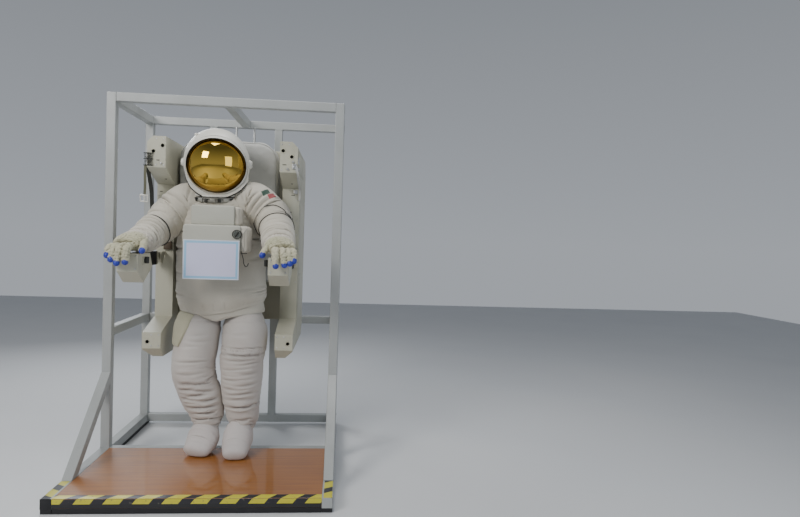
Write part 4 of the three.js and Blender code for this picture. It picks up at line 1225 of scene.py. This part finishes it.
def startShape(values):
    # The tube with its folds pressed in, before the simulation
    grid = softGrid(values["rows"], values.get("across", (1, 0, 0)), values["cell"])
    points = grid["points"]
    grid["plain"] = points
    grid["place"] = grid["length"] if "across" in values else points[..., 2]
    height = foldHeight(grid["place"], grid["angle"], values["folds"])
    height += pleatHeight(grid["place"], grid["angle"], values.get("pleats", []))
    calm = np.interp(grid["place"], *np.array(values["wrinkle"]).T)
    height += values["noise"] * mm * calm * creaseNoise(grid["length"], grid["angle"], values["seed"])
    total = grid["length"][-1, 0]
    fade = np.clip(np.minimum(grid["length"], total - grid["length"]) / 0.02, 0, 1)
    grid["points"] = points + gridNormals(points) * (height * fade)[..., None]
    grid["calm"] = calm * fade
    return grid


def clothObject(name, grid):
    # A cloth tube that grows by some per cent, under pressure, with both ends held
    obj = linked(name, reworked(meshOf(name, *gridShape(grid["points"]))))
    rows, columns = grid["points"].shape[:2]
    index = np.arange(rows * columns).reshape(rows, columns)
    held = obj.vertex_groups.new(name="pin")
    held.add(np.concatenate([index[:3], index[-3:]]).ravel().tolist(), 1.0, "REPLACE")
    cloth = obj.modifiers.new("cloth", "CLOTH")
    cloth.settings.effector_weights.gravity = 0
    cloth.collision_settings.use_collision = False
    for key, value in clothSettings.items():
        setattr(cloth.settings, key, value)
    return obj


def simulate(grids):
    # All the tubes are stepped together. Only the wrinkles are kept of the result: what is left when
    # the broad form is taken out, capped, and laid on the broad form that the tube started with.
    objects = {name: clothObject(f"cloth_{name}", grid) for name, grid in grids.items()}
    for number in range(1, clothValues["frames"] + 1):
        scene.frame_set(number)
    graph = bpy.context.evaluated_depsgraph_get()
    for name, obj in objects.items():
        grid = grids[name]
        start = grid["points"]
        moved = np.empty(start.size)
        obj.evaluated_get(graph).data.vertices.foreach_get("co", moved)
        moved = moved.reshape(start.shape)
        wrinkle = moved - smoothed(moved, clothValues["broad"])
        size = np.linalg.norm(wrinkle, axis=-1, keepdims=True)
        wrinkle = wrinkle * np.minimum(1, clothValues["most"] / np.maximum(size, 1e-9))
        settled = grid["plain"] + wrinkle
        grid["points"] = start + (settled - start) * np.clip(grid["calm"] * 1.4, 0, 1)[..., None]
    scene.frame_set(1)
    for obj in objects.values():
        mesh = obj.data
        bpy.data.objects.remove(obj)
        bpy.data.meshes.remove(mesh)


def rolledHem(points, depth):
    # Rings that turn the end of a tube under and a little way back up inside it
    middle = points[-1].mean(axis=0)
    back = unit((points[-4] - points[-1]).mean(axis=0))
    rings = [middle + (points[-1] - middle) * (1 - depth * share / 0.12) + back * rise * mm
             for share, rise in ((0.12, -3.0), (0.3, -4.2), (0.55, -3.0), (0.8, 1.0), (1.0, 8.0), (1.05, 18.0))]
    return np.concatenate([points, rings])


def hollowness(points):
    # How deep each point lies under the surface round it: 0 on the flat, 1 at 4 mm
    depth = ((smoothed(points, 14) - points) * gridNormals(points)).sum(-1)
    return np.clip(depth / 0.004, 0, 1)


# The hems, as rows of x and height. The belly hangs lowest a little to the left, and the trousers
# end in a wide V above the legs. Each hem has the height that it starts from, and where it fades out.
hems = {
    "suit_torso": {
        "rows": [(-0.25, 0.874), (-0.15, 0.858), (-0.05, 0.855), (0.06, 0.866), (0.12, 0.882), (0.16, 0.894),
                 (0.24, 0.908)],
        "from": 0.850, "until": 1.00, "over": 0.13,
    },
    "suit_pelvis": {
        "rows": [(-0.24, 0.868), (-0.19, 0.857), (-0.13, 0.838), (-0.07, 0.814), (-0.03, 0.801), (-0.003, 0.799),
                 (0.02, 0.806), (0.06, 0.818), (0.127, 0.831), (0.187, 0.838), (0.24, 0.844)],
        "from": 0.806, "until": 0.91, "over": 0.09,
    },
}


def shapeHem(points, hem):
    x, z = points[..., 0], points[..., 2]
    height = np.interp(x, *np.array(hem["rows"]).T)
    points[..., 2] += (height - hem["from"]) * np.clip((hem["until"] - z) / hem["over"], 0, 1)


def domedEnd(points, reach, steps=10):
    # Rings that close the end of a tube with a blunt dome
    middle = points[-1].mean(axis=0)
    ahead = unit(middle - points[-5].mean(axis=0))
    turn = np.linspace(0, np.radians(88), steps)[1:, None, None]
    rings = middle + ahead * reach * np.sin(turn) + (points[-1] - middle) * np.cos(turn) ** 0.75
    return np.concatenate([points, rings])


def onDeck(points, sole=0.0722, soft=0.004):
    # Pushes everything below the sole's height up to it, with a soft bend at the edge
    points[..., 2] = sole + soft * np.logaddexp(0, (points[..., 2] - sole) / soft)
    return points


grids = {name: startShape(values) for name, values in softPieces.items()}
simulate(grids)
print("cloth settled")
finished = {}
for name, values in softPieces.items():
    grid = grids[name]
    if name in hems:
        shapeHem(grid["points"], hems[name])
    points = doubled(grid["points"])
    rows = grid["place"].mean(axis=1)
    finished[name] = {"points": points, "normals": gridNormals(points),
                      "rows": np.interp(np.arange(len(points)) / 2, np.arange(len(rows)), rows)}
    if "hem" in values:
        points = rolledHem(points, values["hem"])
    if "toe" in values:
        points = onDeck(domedEnd(points, values["toe"]))
    replaced = [name.removeprefix("suit_")] if name != "suit_pelvis" else []
    softPiece(name, [gridShape(points)], values.get("finish", "suitCloth"), hollowness(points), replaced=replaced)
print("suit done")


def onCloth(name, place, degrees, lift=0.0):
    # Points on a finished tube of cloth, at places along it and angles round it, lifted off it
    grid = finished[name]
    rows, columns = grid["points"].shape[:2]
    order = np.argsort(grid["rows"])
    row = np.clip(np.interp(place, grid["rows"][order], np.arange(rows)[order]), 0, rows - 1.001)
    column = np.radians(degrees) % (2 * np.pi) / (2 * np.pi) * columns
    i, j = row.astype(int), column.astype(int)
    u, v = (row - i)[..., None], (column - j)[..., None]

    def read(field):
        first, second = (field[k, j % columns] * (1 - v) + field[k, (j + 1) % columns] * v for k in (i, i + 1))
        return first * (1 - u) + second * u

    return read(grid["points"]) + unit(read(grid["normals"])) * np.asarray(lift)[..., None]


def patchShape(name, left, right, thick, size=(40, 30)):
    # A flat pad sewn onto a tube of cloth. Its left and right edges are curves of (place, angle) rows.
    down = np.linspace(0, 1, size[0])
    over = np.linspace(0, 1, size[1])[None]
    edges = [splineThrough(edge, down) for edge in (left, right)]
    place, angle = (edges[0][:, k, None] * (1 - over) + edges[1][:, k, None] * over for k in (0, 1))
    swell = (1 - np.abs(2 * down[:, None] - 1) ** 10) * (1 - np.abs(2 * over - 1) ** 10)
    front = onCloth(name, place, angle, thick * (0.25 + 0.75 * swell ** 0.35))
    back = onCloth(name, place, angle, np.full(place.shape, -0.002))
    return gridShape(np.concatenate([front, back[:, ::-1]], axis=1))


def pipingShape(name, place, radius, lift=0.0030):
    path = onCloth(name, place + 0 * allRound, allRound, lift + 0 * allRound)
    rows = finished[name]["points"].mean(axis=1)
    return tubeShape(path, radius, closed=True, up=unit(rows[-1] - rows[-9]))


# Dark piping round both elbows, double on the right one, where the upper line dips on the inner side
allRound = np.linspace(0, 360, 96, endpoint=False)
innerSide = np.clip(np.cos(np.radians(allRound + 105)), 0, 1)
rightElbow = finished["suit_upper_arm_right"]["rows"].max()
piping = [pipingShape("suit_forearm_left", 0.086, 0.0026), pipingShape("suit_forearm_right", 0.040, 0.0020),
          pipingShape("suit_upper_arm_right", rightElbow - 0.003 - 0.075 * innerSide, 0.0020)]
makePiece("elbow_piping", piping, "gasketRubber")

# The pocket's flap on the left hip, and a sewn patch on the right shoulder
pocket = {"left": [(0.824, -112), (0.790, -120), (0.755, -112), (0.715, -96), (0.650, -60)],
          "right": [(0.814, -8), (0.775, -13), (0.735, -19), (0.690, -28), (0.643, -38)], "thick": 0.012}
softPiece("hip_pocket", [patchShape("suit_leg_left", *pocket.values())], "pocketCloth")
patches = {"green": ([(0.130, -50), (0.158, -54)], [(0.130, -24), (0.158, -28)], 0.0022),
           "red": ([(0.162, -44), (0.190, -46)], [(0.162, -18), (0.190, -20)], 0.0022)}
for color, edges in patches.items():
    makePiece(f"shoulder_patch_{color}", [patchShape("suit_upper_arm_right", *edges, (16, 16))], f"{color}Patch")


# Gloves: the palm's rows as in the soft pieces, and three points along each finger, in millimetres
gloves = {
    "left": {"palm": [(-363, -326, 1247, 70, 54), (-368, -384, 1243, 75, 50), (-380, -439, 1234, 73, 42),
                      (-390, -478, 1224, 66, 30)],
             "fingers": [[(-430, -459, 1214), (-438, -550, 1208), (-438, -578, 1169)],
                         [(-412, -466, 1215), (-413, -558, 1207), (-417, -586, 1150)],
                         [(-384, -474, 1215), (-386, -562, 1206), (-390, -589, 1134)],
                         [(-356, -474, 1215), (-351, -562, 1207), (-351, -589, 1140)],
                         [(-334, -389, 1240), (-302, -474, 1227), (-287, -548, 1195)]]},
    "right": {"palm": [(337, -326, 1247, 73, 54), (346, -389, 1242, 76, 50), (358, -446, 1232, 72, 41),
                       (367, -480, 1222, 65, 30)],
              "fingers": [[(410, -456, 1214), (431, -554, 1208), (434, -580, 1166)],
                          [(391, -464, 1215), (408, -560, 1207), (417, -587, 1154)],
                          [(363, -474, 1215), (382, -561, 1207), (391, -588, 1146)],
                          [(335, -474, 1215), (344, -560, 1208), (349, -588, 1140)],
                          [(313, -389, 1240), (290, -471, 1223), (276, -520, 1189)]]},
    "radius": [0.0150, 0.0156, 0.0166, 0.0180, 0.0172], "rib": 0.0135, "ripple": 0.055, "tip": 0.0145,
    "voxel": 0.0025, "seams": [(-0.352, 0.0030), (-0.406, 0.0016), (-0.478, 0.0028), (-0.488, 0.0018)],
    "seamWidth": 0.0026, "seamBend": 0.03, "creases": 0.0018, "fineCreases": 0.0007,
}


def fingerShape(points, radius):
    # A tube with rings of padding along it and a rounded end. Its last point is in the rubber tip.
    path = splined(np.array(points) * mm, 70)
    length = runOf(path)
    left = length[-1] - length
    size = radius * (0.94 + 0.10 * np.clip(left / 0.08, 0, 1))
    ripple = gloves["ripple"] * np.cos(2 * np.pi * left / gloves["rib"])
    size = size * (1 + ripple * np.clip((0.085 - left) / 0.02, 0, 1))
    size = size * np.sqrt(np.clip(left / 0.006, 0.02, 1))
    return sweep(path[:-3], roundProfiles(size[:-3], 24), up=(1, 0, 0))


def tipShape(points):
    # A rubber thimble on the end of a finger
    path = splined(np.array(points) * mm, 70)
    r = gloves["tip"]
    profile = [(0.0002, -0.014), (r * 0.9, -0.014), (r * 1.03, -0.010), (r * 1.03, -0.004)]
    profile += [(r * np.cos(a), 0.013 * np.sin(a)) for a in np.linspace(0, np.radians(89), 9)]
    return turnedShape(profile, path[-1], path[-1] - path[-6], 28)


def merged(shapes, voxel):
    # Closed shapes that overlap, joined into one skin by a voxel remesh
    obj = linked("merging", meshOf("merging", *joinShapes(shapes)))
    remesh = obj.modifiers.new("merge", "REMESH")
    remesh.mode = "VOXEL"
    remesh.voxel_size = voxel
    skin = bpy.data.meshes.new_from_object(obj.evaluated_get(bpy.context.evaluated_depsgraph_get()))
    points, normals = np.empty((2, len(skin.vertices) * 3))
    skin.vertices.foreach_get("co", points)
    skin.vertices.foreach_get("normal", normals)
    edges = np.empty(len(skin.edges) * 2, int)
    skin.edges.foreach_get("vertices", edges)
    faces = [list(polygon.vertices) for polygon in skin.polygons]
    mesh = obj.data
    bpy.data.objects.remove(obj)
    for used in (mesh, skin):
        bpy.data.meshes.remove(used)
    return points.reshape(-1, 3), normals.reshape(-1, 3), faces, edges.reshape(-1, 2)


def relaxed(points, edges, times):
    # Each point moves to the middle of its own place and its neighbours' mean, over and over.
    near = np.concatenate([edges, edges[:, ::-1]])
    count = np.bincount(near[:, 0], minlength=len(points))[:, None]
    for _ in range(times):
        total = np.stack([np.bincount(near[:, 0], points[near[:, 1], k], len(points)) for k in range(3)], -1)
        points = (points + total / count) / 2
    return points


def crumpled(points, seed, wave, count=40):
    # Sines of one wave length in all directions, folded so that their creases are sharp: -1 to 1
    random = np.random.default_rng(seed)
    ways = unit(random.normal(size=(count, 3))) * 2 * np.pi / wave
    total = np.sin(points @ ways.T + random.uniform(0, 2 * np.pi, count)).sum(axis=1) / np.sqrt(count)
    return 1 - 2 * np.clip(np.abs(total), 0, 1)


def gloveMesh(values):
    palm = gridShape(softGrid(values["palm"], (1, 0, 0), 0.006)["points"])
    fingers = [fingerShape(points, radius) for points, radius in zip(values["fingers"], gloves["radius"])]
    points, normals, faces, edges = merged([palm] + fingers, gloves["voxel"])
    points = relaxed(points, edges, 2)
    # Seams across the back over the knuckles, half way, and at the wrist, and small creases all over
    y, above = points[:, 1], np.clip(normals[:, 2] * 2, 0, 1)
    height = -gloves["creases"] * crumpled(points, 3, 0.030) - gloves["fineCreases"] * crumpled(points, 4, 0.012)
    for at, depth in gloves["seams"]:
        bend = at - gloves["seamBend"] * (np.abs(points[:, 0]) - 0.37)
        height = height - depth * above * np.exp(-((y - bend) / gloves["seamWidth"]) ** 2)
    points = points + normals * height[:, None]
    # How deep each point lies in a hollow, near and broad. The glove cloth paints shade by it, darkest in the gaps
    # between the fingers
    narrow, broad = (((relaxed(points, edges, times) - points) * normals).sum(axis=1) / full
                     for times, full in ((16, 0.0022), (90, 0.0045)))
    return [(points, faces)], np.clip(np.maximum(narrow, broad), 0, 1)


for side, sign in mirrored:
    shapes, hollow = gloveMesh(gloves[side])
    softPiece(f"glove_{side}_finished", shapes, "gloveCloth", hollow, replaced=[f"glove_{side}"])
    makePiece(f"finger_tips_{side}", map(tipShape, gloves[side]["fingers"]), "blueRubber")
print("gloves done")


def roundedOutline(x, z, radii, step=0.005):
    # A rectangle in x and z with its own radius at each corner, from the lower right one, evenly stepped
    corners = [(x[1], z[0], -90), (x[1], z[1], 0), (x[0], z[1], 90), (x[0], z[0], 180)]
    points = []
    for (cx, cz, first), radius in zip(corners, radii):
        angle = np.radians(first + np.linspace(0, 90, 16))
        inX = cx - np.sign(cx - sum(x) / 2) * radius
        inZ = cz - np.sign(cz - sum(z) / 2) * radius
        points.append(np.stack([inX + radius * np.cos(angle), inZ + radius * np.sin(angle)], -1))
    points = np.vstack(points + [points[0][:1]])
    length = runOf(points)
    even = np.linspace(0, length[-1], int(length[-1] / step), endpoint=False)
    return np.stack([np.interp(even, length, points[:, k]) for k in (0, 1)], -1)


def padShape(outline, low, high, round, crown, seed, ruffle):
    # An outline of (x, z) points carried along Y. Its front edge is round, and its front face swells
    # by the crown towards the middle, which rings of the same outline shrink to. All of it is
    # ruffled by crumpled noise.
    inward = inwardOf(outline)
    middle = outline.mean(axis=0)
    share = np.linspace(0.03, 0.99, 36)[:, None, None]
    turn = quarterTurn(9)[:, None, None]
    walls = np.linspace(low + round, high, 24)[1:, None, None]
    face = middle + (outline + round * inward - middle) * share
    edge = outline + round * (1 - np.sin(turn)) * inward
    flat = np.concatenate([face, edge, outline + 0 * walls])
    depth = np.concatenate([low - crown * (1 - share ** 2), low + round * (1 - np.cos(turn)), walls])
    depth = depth + 0 * flat[..., :1]
    points = np.stack([flat[..., 0], depth[..., 0], flat[..., 1]], -1)
    tilt = np.concatenate([0 * share, np.sin(turn), 1 + 0 * walls])[..., 0]
    normal = unit(np.stack([-inward[:, 0] * tilt, tilt - 1 + 0 * inward[:, 0], -inward[:, 1] * tilt], -1))
    height = crumpled(points.reshape(-1, 3), seed, 0.16) + 0.4 * crumpled(points.reshape(-1, 3), seed + 1, 0.06)
    return gridShape(points - normal * (ruffle * height.reshape(points.shape[:2]))[..., None])


def edgePiping(outline, y, inset, radius):
    flat = outline + inset * inwardOf(outline)
    return tubeShape(np.stack([flat[:, 0], np.full(len(flat), y), flat[:, 1]], -1), radius, closed=True)


# The life support pack is a soft cover over a box, piped along its front edge and down its sides.
low, high = boxOf("life_support_box")
pack = {"corners": (0.030, 0.110, 0.110, 0.030), "inset": 0.002, "round": 0.030, "crown": 0.010, "ruffle": 0.0016,
        "piping": ((0.0125, 0.0085, 0.0022), (0.118, 0.0, 0.0016))}  # depth, inset and radius
outline = roundedOutline((low[0] + pack["inset"], high[0] - pack["inset"]),
                         (low[2] + pack["inset"], high[2] - pack["inset"]), pack["corners"])
cover = padShape(outline, low[1] + 0.004, high[1], pack["round"], pack["crown"], 21, pack["ruffle"])
softPiece("life_support_cover", [cover], "packCloth", replaced=["life_support_box"])
seams = [edgePiping(outline, low[1] + depth, inset, radius) for depth, inset, radius in pack["piping"]]
makePiece("life_support_piping", seams, "packPiping")

# The chest pack: a plate above, a box with a soft side below, and the dial, hook and card on it
plateLow, plateHigh = boxOf("chest_plate")
boxLow, boxHigh = boxOf("chest_box")
chest = {"padX": 0.133, "rear": -0.120, "dial": (0.115, 1.289), "round": 0.007, "crown": 0.0015, "ruffle": 0.0004}
front, rear, padX = boxLow[1] + 0.008, chest["rear"], chest["padX"]
upper = roundedOutline((plateLow[0], plateHigh[0]), (plateLow[2], plateHigh[2]), (0.006, 0.012, 0.012, 0.006))
lower = roundedOutline((boxLow[0], padX), (boxLow[2], boxHigh[2]), (0.012, 0.012, 0.014, 0.012))
for part, outline, y, seed in (("plate", upper, plateLow[1], 31), ("box", lower, front, 33)):
    shape = padShape(outline, y, rear, chest["round"], chest["crown"], seed, chest["ruffle"])
    makePiece(f"chest_{part}_finished", [shape], "chestPaint", replaced=[f"chest_{part}"])
sidePad = roundedOutline((padX - 0.010, boxHigh[0]), (boxLow[2] + 0.004, boxHigh[2] - 0.002),
                         (0.020, 0.020, 0.010, 0.010))
upperPad = roundedOutline((plateHigh[0] - 0.004, plateHigh[0] + 0.023), (plateLow[2] + 0.002, plateHigh[2] - 0.004),
                          (0.012, 0.014, 0.006, 0.006))
softPiece("chest_side_pads", [padShape(sidePad, front + 0.012, rear, 0.014, 0.006, 35, 0.0012),
                              padShape(upperPad, plateLow[1] + 0.010, rear, 0.012, 0.004, 37, 0.0010)], "suitCloth")
padSeam = [(0.166, 1.318), (0.151, 1.300), (0.142, 1.275), (0.139, 1.250), (0.142, 1.224), (0.152, 1.198)]
padSeam = splined(padSeam, 40)
padSeam = np.stack([padSeam[:, 0], np.full(40, front + 0.0075), padSeam[:, 1]], -1)
trim = [tubeShape(padSeam, 0.0016), edgePiping(upper, plateLow[1] + 0.010, 0.0002, 0.0012),
        edgePiping(lower, front + 0.010, 0.0002, 0.0012)]
makePiece("chest_piping", trim, "packPiping", slot="suit_fabric")
tabs = [roundedBox((boxLow[0] - 0.003, front + 0.004, z - 0.007),
                   (boxLow[0] + 0.010, front + 0.030, z + 0.006), 0.003) for z in (1.306, 1.286, 1.268, 1.252)]
makePiece("chest_tabs", tabs, "suitCloth")

# The dial: a dark disc in a ring, with a scale of fine lines, every third one longer, and a pointer
dial = np.array([chest["dial"][0], front, chest["dial"][1]])
ring = [(0.0215, 0.0), (0.0215, 0.0055), (0.0222, 0.0068), (0.0238, 0.0068), (0.0243, 0.0055), (0.0243, -0.004),
        (0.0215, -0.004)]
makePiece("dial_ring", [turnedShape(ring, dial, frontward, 56)], "darkMetal", merge=1e-6)
face = [(0.0001, 0.0036), (0.0216, 0.0036), (0.0216, -0.003), (0.0001, -0.003)]
makePiece("dial_face", [turnedShape(face, dial, frontward, 48)], "dialPaint")
marks = [tubeShape([dial + (r * np.sin(angle), -0.0038, r * np.cos(angle)) for r in (inner, 0.0202)], 0.0004, 6)
         for angle, inner in zip(np.radians(np.arange(0, 360, 15)), [0.0150, 0.0170, 0.0170] * 8)]
makePiece("dial_marks", marks, "creamPaint", slot="chest_pack_grey")
pointer, faces = roundedBox((-0.0032, -0.0078, -0.0150), (0.0032, -0.0034, 0.0140), 0.0018)
makePiece("dial_knob", [(turnedAbout(pointer, 1, 35) + dial, faces)], "darkMetal")

# The hook for the hoses, bent from wire, and the blank card
hook = splined([(0.139, -0.286, 1.200), (0.142, -0.2935, 1.188), (0.150, -0.2955, 1.162), (0.1545, -0.2965, 1.136),
                (0.162, -0.297, 1.124), (0.171, -0.297, 1.1245), (0.178, -0.2965, 1.140)], 60)
bar = [(0.136, -0.289, 1.1895), (0.168, -0.289, 1.1910)]
makePiece("hose_hook", [tubeShape(path, 0.0022, 10) for path in (hook, bar)], "darkMetal")
bevelledNode("sign_card", "laminatedCard", 0.6)
print("chest done")


# Floor, light and camera
floorValues = {"half": 9, "color": (0.74, 0.75, 0.76), "shade": (0.68, 0.69, 0.71), "roughness": 0.32}
worldValues = {"below": (0.62, 0.66, 0.72, 1), "above": (0.16, 0.18, 0.21, 1), "reach": 0.8, "strength": 0.62}
# Each light: its place, what it looks at, its two sizes, power and colour
lights = {
    "key": ((-2.6, -3.6, 3.6), (0, 0, 1.1), (1.8, 1.8), 150, (1.0, 0.985, 0.96)),
    "fill": ((3.4, -2.6, 2.0), (0, 0, 1.0), (2.0, 2.6), 32, (0.90, 0.95, 1.0)),
    "top": ((0.2, -0.2, 4.4), (0, 0, 1.0), (2.4, 1.2), 70, (1, 1, 1)),
    "rim": ((-1.6, 3.2, 2.8), (0, 0, 1.4), (1.6, 1.6), 60, (0.92, 0.96, 1.0)),
}
# The camera's place in metres, its turns in degrees, and its focal length and sensor in millimetres
view = {"place": (0.6696, -3.6666, 1.2824), "yaw": 5.169, "pitch": -1.590, "roll": 1.8345, "focal": 28.4535,
        "sensor": 36}

finish = Finish("paleFloor")
cloudy = finish.noise(0.8, 2.0).between(0.4, 0.7) * 0.3
finish.set(Base_Color=finish.mix(cloudy, floorValues["color"], floorValues["shade"]))
finish.set(Roughness=floorValues["roughness"] + finish.noise(2.0, 3.0) * 0.1)
corners = floorValues["half"] * np.array([(-1, -1, 0), (1, -1, 0), (1, 1, 0), (-1, 1, 0)])
floor = linked("floor", meshOf("floor", corners, [(0, 1, 2, 3)]))
floor.data.materials.append(finish.material)

world = scene.world = bpy.data.worlds.new("studio")
world.use_nodes = True
sky, links = world.node_tree.nodes, world.node_tree.links
direction, split, shades = (sky.new(f"ShaderNode{kind}") for kind in ("TexCoord", "SeparateXYZ", "ValToRGB"))
for element, position, shade in zip(shades.color_ramp.elements, (0.0, worldValues["reach"]), ("below", "above")):
    element.position, element.color = position, worldValues[shade]
links.new(direction.outputs["Generated"], split.inputs[0])
links.new(split.outputs["Z"], shades.inputs[0])
links.new(shades.outputs[0], sky["Background"].inputs[0])
sky["Background"].inputs[1].default_value = worldValues["strength"]

for name, (place, target, size, power, color) in lights.items():
    light = bpy.data.lights.new(name, "AREA")
    light.shape = "RECTANGLE"
    light.size, light.size_y = size
    light.energy, light.color = power, color
    lamp = linked(name, light)
    lamp.location = place
    lamp.rotation_euler = (Vector(target) - Vector(place)).to_track_quat("-Z", "Y").to_euler()

yaw, pitch, roll = (np.radians(view[key]) for key in ("yaw", "pitch", "roll"))
forward = np.array([np.sin(yaw) * np.cos(pitch), np.cos(yaw) * np.cos(pitch), np.sin(pitch)])
right = np.array([np.cos(yaw), -np.sin(yaw), 0])
up = np.cross(right, forward)
turned = np.stack([np.cos(roll) * right + np.sin(roll) * up, np.cos(roll) * up - np.sin(roll) * right, -forward], -1)
data = bpy.data.cameras.new("camera")
data.lens = view["focal"]
data.sensor_width = view["sensor"]
scene.camera = linked("camera", data)
scene.camera.matrix_world = Matrix.Translation(view["place"]) @ Matrix(turned.tolist()).to_4x4()
